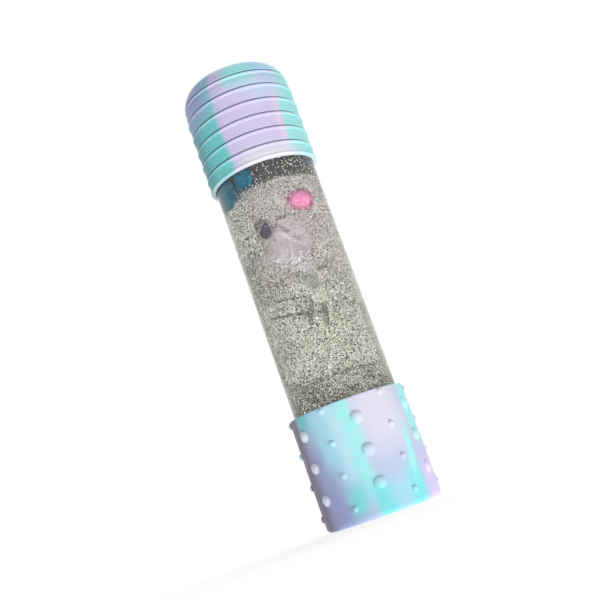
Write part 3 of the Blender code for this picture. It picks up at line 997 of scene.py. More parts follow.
@dataclass(frozen=True)
class GlitterDepths(Finish):
    """Packed glitter deep in the liquid, hazy where the treasures float.

    Attributes:
        name: Name of the material.
        flake: Size of a flake.
        tilt: How far the flakes lean.
        haze: Heights between which the haze thickens.
        shade: Heights between which the glitter dims under the cover.
        foot_darkening: Heights between which the glitter darkens towards the foot.
        swept: How strongly the swirls show.
    """

    name: str = "glitter_depths"
    flake: float = 0.00036
    tilt: float = 0.9
    haze: Spot = (0.104, 0.140)
    shade: Spot = (0.170, 0.182)
    foot_darkening: Spot = (0.058, 0.078)
    swept: float = 0.75

    SWIRLS = (
        Swirl(Packed.SMEAR, -22.3, 115.5, 9.0, 2.4, -9.2),
        Swirl(Packed.SMEAR, -30.0, 107.8, 12.0, 3.6, -9.0),
        Swirl(Packed.SMEAR, 18.0, 71.5, 50.0, 1.2),
        # Painted shade darkening the tube's left side.
        Swirl(Packed.LEFT_SHADE, -78.0, 137.0, 13.0, 10.0),
        Swirl(Packed.LEFT_SHADE, -88.0, 120.0, 9.0, 60.0),
        # Painted reflection along the tube's right edge.
        Swirl(Packed.RIGHT_REFLECTION_DIM, 80.0, 84.0, 17.0, 30.0),
        Swirl(Packed.RIGHT_REFLECTION_PALE, 80.0, 150.0, 17.0, 34.0),
        Swirl(Packed.ROSE, 28.0, 150.0, 24.0, 13.0),
        Swirl(Packed.ICE, -38.0, 182.0, 10.0, 7.0),
        Swirl(Packed.SLIVER, 3.5, 116.5, 3.0, 5.5, -0.9),
        Swirl(Packed.VEIL, 12.0, 127.5, 10.0, 4.0),
    )

    def dress(self, coat: Coat) -> None:
        """Pack the flakes, and lay the clouds, the haze, the swirls, the shade and a darkening towards the
        foot over them.

        Args:
            coat: The material's nodes.
        """
        flakes = coat.effects.flakes.place(coat, Position=coat.place, Flake=self.flake, Tilt=self.tilt)
        colour = coat.blend(coat.ease(flakes["Shade"], 0.15, 0.35), Packed.GAP.colour, Packed.FLAKE.colour)
        colour = coat.blend(coat.ease(flakes["Shade"], 0.62, 0.80), colour, Packed.SPARK.colour)
        drawn = coat.vector("MULTIPLY", coat.place, (0.5, 0.5, 1.4))
        cloud = coat.noise(drawn, 60.0, 4.0, Distortion=1.2)
        colour = coat.blend(coat.ease(cloud, 0.5, 0.68, 0.0, 0.6), colour, Packed.CLOUD.colour)
        colour = coat.blend(coat.ease(coat.height, *self.haze, 0.0, 0.72), colour, Packed.HAZE.colour)
        colour = coat.blend(self.swept, colour, coat.marble(self.SWIRLS, 0.004, 90.0, colour))
        dim = coat.ease(coat.height, *self.shade, 0.0, 0.9)
        colour = coat.blend(dim, colour, Packed.SHADE.colour, "MULTIPLY")
        # Darker towards the foot.
        darkening = coat.ease(coat.height, *self.foot_darkening, 0.8, 0.0)
        coat.shade(
            Base_Color=coat.blend(darkening, colour, Packed.FOOT_DARK.colour, "MULTIPLY"),
            Metallic=coat.ease(flakes["Sparkle"], 0.4, 0.8, 0.0, 0.4),
            Roughness=coat.ease(flakes["Sparkle"], 0.0, 1.0, 0.5, 0.25),
            Normal=flakes["Normal"],
        )


@dataclass(frozen=True)
class GlitterFlake(Finish):
    """One colour of loose metal flake.

    Attributes:
        name: Name of the material.
        tone: Its colour.
        roughness: How rough it is.
    """

    name: str
    tone: str
    roughness: float

    def dress(self, coat: Coat) -> None:
        """Give the flake its colour and shine."""
        coat.shade(Base_Color=paint(self.tone), Metallic=0.5, Roughness=self.roughness)


@dataclass(frozen=True)
class CutStone(Finish):
    """Glossy coloured plastic stone with cloudy depths.

    Attributes:
        name: Name of the material.
        deep: Colour of its depths.
        bright: Colour of its clouds.
        bright_fleck: Colour of the glitter stuck to it.
        fleck: Size of that glitter.
        wet_index: Refractive index against the liquid.
    """

    name: str
    deep: str
    bright: str
    bright_fleck: str
    fleck: float = 0.0004
    wet_index: float = WET_INDEX

    def dress(self, coat: Coat) -> None:
        """Lay the clouds and the flecks.

        Args:
            coat: The material's nodes.
        """
        cloud = coat.noise(coat.place, 420.0, 3.0)
        colour = coat.blend(coat.ease(cloud, 0.3, 0.7), paint(self.deep), paint(self.bright))
        flakes = coat.effects.flakes.place(coat, Position=coat.place, Flake=self.fleck, Tilt=0.0)
        fleck = coat.ease(flakes["Shade"], 0.82, 0.94, 0.0, 0.3)
        coat.shade(Base_Color=coat.blend(fleck, colour, paint(self.bright_fleck)), IOR=self.wet_index)
        coat.grain(0.0005, 0.2, 0.12)


@dataclass(frozen=True)
class CrinkledFilm(Finish):
    """See-through lilac film, with painted highlights on its crinkles and a painted shadow along its fold."""

    name: str = "crinkled_lilac_film"

    def dress(self, coat: Coat) -> None:
        """Lay the clouds, the fold's painted shadow and the crinkles' painted highlights, and tatter the
        edge.

        Args:
            coat: The material's nodes.
        """
        marks = [coat.add("ShaderNodeAttribute", attribute_name=name) for name in FilmTangle.MARKS]
        crease, edge, fold = [mark.outputs["Fac"] for mark in marks]
        cloud = coat.noise(coat.place, 160.0, 3.0)
        tatter = coat.noise(coat.place, 520.0, 3.0)
        bay = coat.noise(coat.place, 230.0, 2.0)
        colour = coat.blend(coat.ease(cloud, 0.35, 0.7), Film.DEEP.colour, Film.PALE.colour)
        # Painted shadow along the fold.
        dark = coat.math("MULTIPLY", fold, coat.ease(tatter, 0.42, 0.60, 0.0, 0.85))
        colour = coat.blend(dark, colour, Film.FOLD_SHADOW.colour)
        # Painted highlights on the crinkles.
        white = coat.ease(crease, 0.35, 0.95, 0.0, 0.8)
        solid = coat.ease(crease, 0.2, 0.8, 0.68, 0.95)
        solid = coat.math("MAXIMUM", solid, coat.math("MULTIPLY", dark, 0.8))
        reach = coat.math("MULTIPLY_ADD", coat.math("SUBTRACT", tatter, 0.5), 0.4, edge)
        reach = coat.math("MULTIPLY_ADD", coat.math("SUBTRACT", bay, 0.5), 1.5, reach)
        shown = coat.math("MAXIMUM", coat.ease(reach, 0.05, 0.35), dark)
        coat.shade(
            Base_Color=coat.blend(white, colour, Film.CREASE_HIGHLIGHT.colour),
            Alpha=coat.math("MULTIPLY", solid, shown),
            Roughness=coat.ease(cloud, 0.3, 0.7, 0.22, 0.38),
        )


@dataclass(frozen=True)
class PompomFluff(Finish):
    """Soft hot pink fibre, redder in its depths.

    Attributes:
        name: Name of the material.
        deep: Colour of its depths.
        pale: Colour of its tufts.
    """

    name: str = "pompom_fluff"
    deep: str = "FA86C4"
    pale: str = "FFBEE2"

    def dress(self, coat: Coat) -> None:
        """Lay the tufts.

        Args:
            coat: The material's nodes.
        """
        tuft = coat.ease(coat.noise(coat.place, 900.0, 2.0), 0.3, 0.7)
        colour = coat.blend(tuft, paint(self.deep), paint(self.pale))
        coat.shade(Base_Color=colour, Roughness=0.85, Sheen_Weight=0.6)


@dataclass(frozen=True)
class ThinSpangle(Finish):
    """Thin glossy plastic with a brushed shine.

    Attributes:
        name: Name of the material.
        dark: Colour of its darker parts.
        light: Colour of its lighter parts.
        metal: How metallic it is.
    """

    name: str
    dark: str
    light: str
    metal: float

    def dress(self, coat: Coat) -> None:
        """Brush the shine on.

        Args:
            coat: The material's nodes.
        """
        brushed = coat.vector("MULTIPLY", coat.place, (900.0, 900.0, 160.0))
        streak = coat.ease(coat.noise(brushed, 1.0, 2.0), 0.35, 0.65)
        coat.shade(Base_Color=coat.blend(streak, paint(self.dark), paint(self.light)), Metallic=self.metal)
        coat.grain(0.0004, 0.3, 0.2)


@dataclass(frozen=True)
class MouldedPlastic(Finish):
    """Plain moulded plastic or rubber with a fine grain.

    Attributes:
        name: Name of the material.
        tone: Its colour.
        worn: Its colour where handling has dulled it.
        roughness: How rough it is.
        grain: Size of the grain.
    """

    name: str
    tone: str
    worn: str
    roughness: float
    grain: float

    def dress(self, coat: Coat) -> None:
        """Lay the worn patches and the grain.

        Args:
            coat: The material's nodes.
        """
        patch = coat.ease(coat.noise(coat.place, 70.0, 3.0), 0.4, 0.75)
        coat.shade(Base_Color=coat.blend(patch, paint(self.tone), paint(self.worn)))
        coat.grain(self.grain, self.roughness, 0.15, 0.1)


class Outline:
    """A run of (radius, height) points that goes out along the foot and up the outside."""

    def __init__(self, *points: Spot) -> None:
        """Start at these points."""
        self.points: list[Spot] = list(points)

    def to(self, *points: Spot) -> "Outline":
        """Go straight on to these points, and return the outline."""
        self.points += points
        return self

    def arc(
        self, centre: Spot, radius: float, start: float, end: float, steps: int = 8, tall: float | None = None
    ) -> "Outline":
        """Go round an arc.

        Args:
            centre: Its centre.
            radius: Its radius.
            start: Where it starts: 0 degrees points out and 90 up.
            end: Where it ends.
            steps: Steps in it.
            tall: Its radius up and down, if it is an oval.

        Returns:
            The outline.
        """
        tall = tall or radius
        for i in range(steps + 1):
            angle = math.radians(start + (end - start) * i / steps)
            self.points.append((centre[0] + radius * math.cos(angle), centre[1] + tall * math.sin(angle)))
        return self

    def finer(self, step: float) -> list[Spot]:
        """Divide the long runs.

        Args:
            step: Longest run that stays whole.

        Returns:
            The points.
        """
        fine = self.points[:1]
        for (r0, z0), (r1, z1) in zip(self.points, self.points[1:]):
            parts = max(1, math.ceil(math.hypot(r1 - r0, z1 - z0) / step))
            fine += [(r0 + (r1 - r0) * k / parts, z0 + (z1 - z0) * k / parts) for k in range(1, parts + 1)]
        return fine


def new_object(name: str, mesh: Mesh) -> Object:
    """Put a mesh into the scene.

    Args:
        name: Name of the object.
        mesh: Its mesh.

    Returns:
        The object.
    """
    obj = bpy.data.objects.new(name, mesh)
    bpy.context.scene.collection.objects.link(obj)
    return obj


def from_outline(name: str, points: Sequence[Spot]) -> Object:
    """Make an object of an outline's points, for the turning tree.

    Args:
        name: Name of the object.
        points: The outline.

    Returns:
        The object.
    """
    mesh = bpy.data.meshes.new(name)
    mesh.from_pydata([(r, 0.0, z) for r, z in points], [], [])
    return new_object(name, mesh)


def from_bmesh(name: str, bm: bmesh.types.BMesh, material: Material) -> Object:
    """Make an object of a bmesh.

    Args:
        name: Name of the object.
        bm: Its shape, which is used up.
        material: Its finish.

    Returns:
        The object.
    """
    bmesh.ops.recalc_face_normals(bm, faces=bm.faces)
    mesh = bpy.data.meshes.new(name)
    bm.to_mesh(mesh)
    bm.free()
    mesh.materials.append(material)
    return new_object(name, mesh)


def settle(obj: Object, sharp: float) -> Object:
    """Turn an object's modifiers into a plain smooth-shaded mesh.

    Args:
        obj: The object.
        sharp: Angle, in degrees, past which an edge stays sharp.

    Returns:
        The object.
    """
    whole = obj.evaluated_get(bpy.context.evaluated_depsgraph_get())
    mesh = bpy.data.meshes.new_from_object(whole)
    old = obj.data
    obj.modifiers.clear()
    obj.data = mesh
    bpy.data.meshes.remove(old)
    mesh.name = obj.name
    mesh.shade_smooth()
    mesh.set_sharp_from_angle(angle=math.radians(sharp))
    return obj


def thicken(obj: Object, thickness: float, sharp: float) -> Object:
    """Give a sheet its thickness.

    Args:
        obj: The sheet.
        thickness: Its thickness.
        sharp: Angle, in degrees, past which an edge stays sharp.

    Returns:
        The object.
    """
    solid = obj.modifiers.new("thickness", "SOLIDIFY")
    solid.thickness = thickness
    solid.offset = 0.0
    return settle(obj, sharp)


def swing(bm: bmesh.types.BMesh, angle: float) -> None:
    """Turn a shape about the bottle's axis by an angle in degrees."""
    matrix = Matrix.Rotation(math.radians(angle), 3, "Z")
    bmesh.ops.rotate(bm, verts=bm.verts, cent=(0, 0, 0), matrix=matrix)


def enrol(obj: Object, body: str, slot: str, *nodes: str) -> Object:
    """Ride a finished piece on its body.

    Args:
        obj: The piece.
        body: The body that carries it.
        slot: The record's slot for its finish; not used.
        nodes: The CAD nodes that it stands for.

    Returns:
        The piece.
    """
    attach(obj, body)
    if nodes:
        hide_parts(*nodes)
    LOG.info("%s rides on %s with %d faces", obj.name, body, len(obj.data.polygons))
    return obj


@dataclass
class Workshop:
    """What the sub-assemblies share: the shape trees and the effects."""

    turned: TurnedWall
    bumps: BumpField
    fibres: PompomFibres
    effects: Effects


@dataclass
class Assembly:
    """A sub-assembly of the bottle.

    Attributes:
        shop: The shape trees and effects that it is made with.
    """

    shop: Workshop

    def build(self) -> None:
        """Build and dress the sub-assembly."""
        raise NotImplementedError


@dataclass
class ScrewThread:
    """A helical ridge that fades in and out.

    Attributes:
        root: Radius at which it is rooted.
        crest: Radius of its crest.
        start: Height at which it starts.
    """

    root: float
    crest: float
    start: float
    phase: float = 90.0
    pitch: float = 0.0040
    turns: float = 1.5
    root_width: float = 0.0015
    crest_width: float = 0.0008
    taper: float = 12.0
    steps: int = 150

    def cut_on(self, shop: Workshop, obj: Object, material: Material) -> None:
        """Join the ridge to an object by a Boolean modifier.

        Args:
            shop: The shape trees.
            obj: The object.
            material: Its finish.
        """
        root, crest = self.root_width / 2, self.crest_width / 2
        corners = [(self.root, -root), (self.crest, -crest), (self.crest, crest), (self.root, root)]
        if self.crest < self.root:
            corners.reverse()
        ridge = from_outline(obj.name + "_thread", corners)
        shop.turned.wear(
            ridge,
            material,
            Segments=self.steps,
            Closed=1,
            Turns=self.turns,
            Pitch=self.pitch,
            Phase=math.radians(self.phase),
            Start=self.start,
            Root=self.root,
            Taper=self.taper,
            Blunt=0.0,
        )
        settle(ridge, 180.0)
        union = obj.modifiers.new("thread", "BOOLEAN")
        union.operation = "UNION"
        union.solver = "EXACT"
        union.object = ridge
        settle(obj, SHARP)
        bpy.data.objects.remove(ridge, do_unlink=True)


@dataclass
class Boot(Assembly):
    """The silicone cup on the foot, with columns of large and small bumps in turn."""

    height: float = 0.0585
    radius: float = 0.0303
    bore: float = 0.0278
    floor: float = 0.0030
    foot_round: float = 0.0026
    rim_round: float = 0.0006
    columns: int = 6
    row_pitch: float = 0.0164
    large_angle: float = 5.5
    large_lowest: float = 0.0155
    large_rows: int = 3
    large_radius: float = 0.0034
    large_depth: float = 0.0018
    small_angle: float = 35.5
    small_lowest: float = 0.0073
    small_rows: int = 4
    small_radius: float = 0.0018
    small_depth: float = 0.0014
    bump_detail: int = 7
    segments: int = 144
    run: float = 0.0025

    STREAKS = (
        Streak(Dye.ICE, -24, 42, 22, 26, 0.0, 0.6),
        Streak(Dye.VIOLET, -42, 12, 17, 16, -0.3, 0.7),
        Streak(Dye.VIOLET, -50, 28, 9, 16, 0.0, 0.8),
        # Mauve dye darkened as painted shade along the boot's left edge.
        Streak(Dye.SHADED_MAUVE, -74, 30, 18, 45, 0.0, 0.6),
        Streak(Dye.AQUA, -50, 57, 8, 6, 0.0, 0.8),
        Streak(Dye.BLUSH, 27, 50, 26, 20, -0.1, 0.7),
        Streak(Dye.FROST, -14, 42, 8, 22, 0.0, 0.8),
        Streak(Dye.POWDER, 24, 6, 13, 8, 0.0, 0.8),
        Streak(Dye.PALE_AQUA, -4, 50, 6.5, 13, -0.35, 0.7),
        Streak(Dye.PALE_AQUA, -5, 26, 7.5, 18, -0.2, 0.8),
        Streak(Dye.BRIGHT_AQUA, -20, 10, 8, 7, 0.2, 0.8),
        Streak(Dye.BRIGHT_AQUA, 6, 5, 9, 10, -0.2, 0.6),
        Streak(Dye.BRIGHT_AQUA, 42, 7, 10, 13, 0.3, 0.6),
        Streak(Dye.PALE_AQUA, 47, 25, 4, 11, 0.2, 0.8),
        Streak(Dye.PALE_AQUA, 70, 48, 11, 18, 0.0, 0.5),
        Streak(Dye.LILAC, 66, 8, 12, 14, 0.1, 0.6),
        Streak(Dye.BLUSH, 105, 36, 18, 30, 0.3, 0.5),
        Streak(Dye.AQUA, 138, 28, 12, 50, -0.35, 0.5),
        Streak(Dye.LILAC, 175, 20, 20, 26, 0.3, 0.5),
        Streak(Dye.BRIGHT_AQUA, -160, 44, 12, 22, 0.3, 0.5),
        Streak(Dye.VIOLET, -118, 40, 18, 30, -0.3, 0.5),
        Streak(Dye.PALE_AQUA, -98, 18, 10, 24, 0.4, 0.5),
    )

    def build(self) -> None:
        """Build and dress the boot."""
        silicone = MarbledSilicone("boot_marbled_silicone", Dye.LAVENDER, self.STREAKS, wall=self.radius)
        material = silicone.material(self.shop.effects)
        line = Outline((0.0, 0.0))
        line.arc((self.radius - self.foot_round, self.foot_round), self.foot_round, -90, 0)
        line.arc((self.radius - self.rim_round, self.height - self.rim_round), self.rim_round, 0, 90, 5)
        line.to((self.bore, self.height), (self.bore, self.floor), (0.0, self.floor))
        boot = self.shop.turned.turn("boot_shell", line.finer(self.run), material, self.segments)
        sizes = (
            (self.large_angle, self.large_lowest, self.large_rows, self.large_radius, self.large_depth),
            (self.small_angle, self.small_lowest, self.small_rows, self.small_radius, self.small_depth),
        )
        for angle, lowest, rows, radius, depth in sizes:
            self.shop.bumps.wear(
                boot,
                material,
                Columns=self.columns,
                Rows=rows,
                Detail=self.bump_detail,
                First_Angle=math.radians(angle),
                Lowest=lowest,
                Row_Pitch=self.row_pitch,
                Wall_Radius=self.radius,
                Bump_Radius=radius,
                Bump_Depth=depth,
            )
        enrol(settle(boot, SHARP), "boot", "boot_silicone", "bumpy_boot")


@dataclass
class CapCover(Assembly):
    """The ribbed silicone cover over the lid: seven bands with a bead along each, drawn in to a dome."""

    rim: float = 0.1873
    top: float = 0.2465
    radius: float = 0.0301
    bore: float = 0.0278
    pocket: float = 0.0273
    pocket_foot: float = 0.2185
    pocket_round: float = 0.0050
    roof: float = 0.2425
    bands: int = 7
    pitch: float = 0.00845
    bead: float = 0.0020
    bead_rise: float = 0.0005
    groove_depth: float = 0.0012
    groove_width: float = 0.0005
    foot_chamfer: float = 0.0003
    dome_foot: float = 0.2300
    dome_inset: float = 0.0090
    bead_steps: int = 6
    dome_steps: int = 14
    segments: int = 144
    run: float = 0.0020

    STREAKS = (
        Streak(Dye.AQUA, -61, 205, 36, 60, 0.0, 0.12),
        # Aqua dye darkened as painted shade along the cover's left edge.
        Streak(Dye.SHADED_AQUA, -76, 200, 20, 40, 0.0, 0.7),
        # Violet dye at the upper left, kept dark partly as painted shade.
        Streak(Dye.VIOLET, -56, 236, 26, 14, 0.0, 0.7),
        Streak(Dye.PALE_AQUA, 67, 215, 27, 60, 0.16, 0.12),
        Streak(Dye.PINK, 36, 204, 3.5, 20, 0.16, 0.9),
        Streak(Dye.BLUSH, 12, 190, 24, 8, 0.0, 0.7),
        # White streak along the rim: painted highlight.
        Streak(Dye.WHITE, 14, 188.5, 30, 3.5, 0.0, 0.8),
        Streak(Dye.SKY, 33, 238, 18, 16, 0.0, 0.6),
        Streak(Dye.ICE, 27, 244, 14, 6, 0.0, 0.7),
        Streak(Dye.PALE_AQUA, 6, 243, 15, 12, 0.0, 0.6),
        Streak(Dye.BLUSH, 112, 205, 14, 30, 0.2, 0.5),
        Streak(Dye.AQUA, 160, 216, 24, 60, -0.15, 0.2),
        Streak(Dye.SKY, -140, 222, 20, 26, 0.2, 0.5),
    )

    def wall(self, height: float) -> float:
        """Return the radius of the cover's wall at a height, over the beads."""
        climb = max(0.0, height - self.dome_foot) / (self.top - self.dome_foot)
        return self.radius - self.dome_inset * (1 - math.sqrt(1 - climb**2))

    def outline(self) -> list[Spot]:
        """Lay out the cover, from the roof's middle down its bore and up its outside.

        Returns:
            The outline.
        """
        half, steps = self.bead / 2, self.bead_steps
        line = Outline((0.0, self.roof))
        middle = (self.pocket - self.pocket_round, self.roof - self.pocket_round)
        line.arc(middle, self.pocket_round, 90, 0).to((self.pocket, self.pocket_foot))
        line.to((self.bore, self.pocket_foot - half / 2), (self.bore, self.rim))
        line.arc((self.radius - half, self.rim + half), half, -90, 0, steps)
        line.arc((self.radius - self.bead_rise, self.rim + half), self.bead_rise, 0, 90, steps, half)
        for k in range(1, self.bands):
            lower = self.rim + self.pitch * k - self.groove_width / 2
            upper = lower + self.groove_width
            level = lower - half
            crest = self.wall(level)
            start = line.points[-1][1]
            for i in range(1, 4):
                height = start + (lower - self.bead - start) * i / 4
                line.to((self.wall(height) - self.bead_rise, height))
            line.arc((crest - self.bead_rise, level), self.bead_rise, -90, 0, steps, half)
            line.arc((crest - self.groove_depth, level), self.groove_depth, 0, 90, steps, half)
            foot = self.wall(upper) - (self.bead_rise if k < self.bands - 1 else 0.0)
            line.to((crest - self.groove_depth, upper), (foot - self.foot_chamfer, upper))
            line.to((foot, upper + self.foot_chamfer))
        rise = self.top - self.dome_foot
        lowest = math.asin((line.points[-1][1] - self.dome_foot) / rise)
        for i in range(1, self.dome_steps + 1):
            turn = lowest + (math.pi / 2 - lowest) * i / self.dome_steps
            inset = self.dome_inset * (1 - math.cos(turn))
            line.to((self.radius - inset, self.dome_foot + rise * math.sin(turn)))
        return line.to((0.0, self.top)).finer(self.run)

    def build(self) -> None:
        """Build and dress the cover."""
        ribs = Ribs(self.rim, self.bands, self.pitch, self.bead)
        finish = MarbledSilicone("cover_marbled_silicone", Dye.LILAC, self.STREAKS, ribs=ribs)
        material = finish.material(self.shop.effects)
        cover = self.shop.turned.turn("cover_shell", self.outline(), material, self.segments)
        enrol(settle(cover, SHARP), "cover", "cover_silicone", "ribbed_cover")


@dataclass
class Bottle(Assembly):
    """The clear bottle, with a shoulder and a threaded neck."""

    radius: float = 0.0275
    bore: float = 0.0255
    foot: float = 0.0033
    floor: float = 0.0058
    foot_round: float = 0.0020
    shoulder: float = 0.2140
    neck_foot: float = 0.2190
    neck_radius: float = 0.0236
    neck_bore: float = 0.0216
    neck_rim: float = 0.2385
    neck_round: float = 0.0004
    fill_top: float = 0.2120
    thread_sunk: float = 0.0004
    thread_crest: float = 0.0250
    thread_start: float = 0.2272
    segments: int = 176
    run: float = 0.0040

    def outline(self) -> list[Spot]:
        """Lay out the bottle's wall, from its foot round to its inner floor.

        Returns:
            The outline.
        """
        line = Outline((0.0, self.foot))
        line.arc((self.radius - self.foot_round, self.foot + self.foot_round), self.foot_round, -90, 0, 5)
        line.to((self.radius, self.shoulder), (self.neck_radius, self.neck_foot))
        line.to((self.neck_radius, self.neck_rim - self.neck_round))
        line.to((self.neck_radius - self.neck_round, self.neck_rim), (self.neck_bore, self.neck_rim))
        line.to((self.neck_bore, self.neck_foot), (self.bore, self.shoulder), (self.bore, self.fill_top))
        line.to((self.bore, self.floor), (0.0, self.floor))
        return line.finer(self.run)

    def wetted(self, face: MeshPolygon) -> bool:
        """Tell whether the liquid touches a face of the wall."""
        reach = math.hypot(face.center.x, face.center.y)
        return self.floor - MERGE < face.center.z < self.fill_top and reach < self.bore + MERGE

    def build(self) -> None:
        """Build and dress the bottle."""
        outer = ClearPlastic("clear_plastic_outside", AIR_INDEX).material(self.shop.effects)
        inner = ClearPlastic("clear_plastic_wetted", WET_INDEX).material(self.shop.effects)
        bottle = self.shop.turned.turn("bottle_wall", self.outline(), outer, self.segments)
        thread = ScrewThread(self.neck_radius - self.thread_sunk, self.thread_crest, self.thread_start)
        thread.cut_on(self.shop, bottle, outer)
        wet = len(bottle.data.materials)
        bottle.data.materials.append(inner)
        for face in bottle.data.polygons:
            if self.wetted(face):
                face.material_index = wet
        enrol(bottle, "bottle", "clear_plastic", "clear_bottle")


@dataclass
class Lid(Assembly):
    """The plain screw lid under the cover, and the sealing ring in it."""

    radius: float = 0.0270
    bore: float = 0.0255
    skirt: float = 0.2206
    top: float = 0.2422
    roof: float = 0.2402
    edge_round: float = 0.0047
    roof_chamfer: float = 0.0010
    seal_bore: float = 0.0205
    seal_radius: float = 0.0243
    seal_foot: float = 0.2388
    seal_top: float = 0.2399
    seal_round: float = 0.0003
    thread_sunk: float = 0.0004
    thread_crest: float = 0.0241
    thread_start: float = 0.2252
    segments: int = 128
    run: float = 0.0040

    def build_lid(self) -> None:
        """Build and dress the lid."""
        finish = MouldedPlastic("lid_white_plastic", "F0F0EC", "E2E2DC", 0.38, 0.0005)
        material = finish.material(self.shop.effects)
        line = Outline((0.0, self.roof), (self.bore - self.roof_chamfer, self.roof))
        line.to((self.bore, self.roof - self.roof_chamfer), (self.bore, self.skirt))
        line.to((self.radius, self.skirt))
        line.arc((self.radius - self.edge_round, self.top - self.edge_round), self.edge_round, 0, 90)
        points = line.to((0.0, self.top)).finer(self.run)
        lid = self.shop.turned.turn("lid_shell", points, material, self.segments)
        thread = ScrewThread(self.bore + self.thread_sunk, self.thread_crest, self.thread_start)
        thread.cut_on(self.shop, lid, material)
        enrol(lid, "lid", "lid_plastic", "screw_lid")

    def build_seal(self) -> None:
        """Build and dress the sealing ring."""
        finish = MouldedPlastic("gasket_soft_silicone", "DDDED9", "CFD0CB", 0.6, 0.0004)
        ring = Outline()
        corners = ((self.seal_radius, self.seal_foot, -90), (self.seal_radius, self.seal_top, 0))
        corners += ((self.seal_bore, self.seal_top, 90), (self.seal_bore, self.seal_foot, 180))
        for r, z, start in corners:
            inward = -self.seal_round if r == self.seal_radius else self.seal_round
            upward = self.seal_round if z == self.seal_foot else -self.seal_round
            ring.arc((r + inward, z + upward), self.seal_round, start, start + 90, 3)
        material = finish.material(self.shop.effects)
        gasket = self.shop.turned.turn("gasket_ring", ring.points, material, self.segments, True)
        enrol(settle(gasket, SHARP), "seal", "gasket_silicone", "lid_gasket")

    def build(self) -> None:
        """Build and dress the lid and its seal."""
        self.build_lid()
        self.build_seal()


@dataclass(frozen=True)
class FlakeLayer:
    """A ring of the liquid, or a sector of it, in which flakes drift.

    Attributes:
        inner: Its inner radius.
        outer: Its outer radius.
        foot: Its lowest height.
        top: Its highest.
        flakes: Flakes in it, of all colours.
        flake: Radius of a flake.
        tilt: How far a flake leans, in degrees.
        sector: Angles between which it lies, in degrees.
    """

    inner: float
    outer: float
    foot: float
    top: float
    flakes: int
    flake: float
    tilt: float = 40.0
    sector: Spot = (-180.0, 180.0)


@dataclass(frozen=True)
class FlakeMix:
    """Flakes of one colour, with the layers that they drift in.

    Attributes:
        finish: Their finish.
        share: Share that they make up of each layer.
        layers: The layers.
    """

    finish: GlitterFlake
    share: float
    layers: tuple[FlakeLayer, ...]


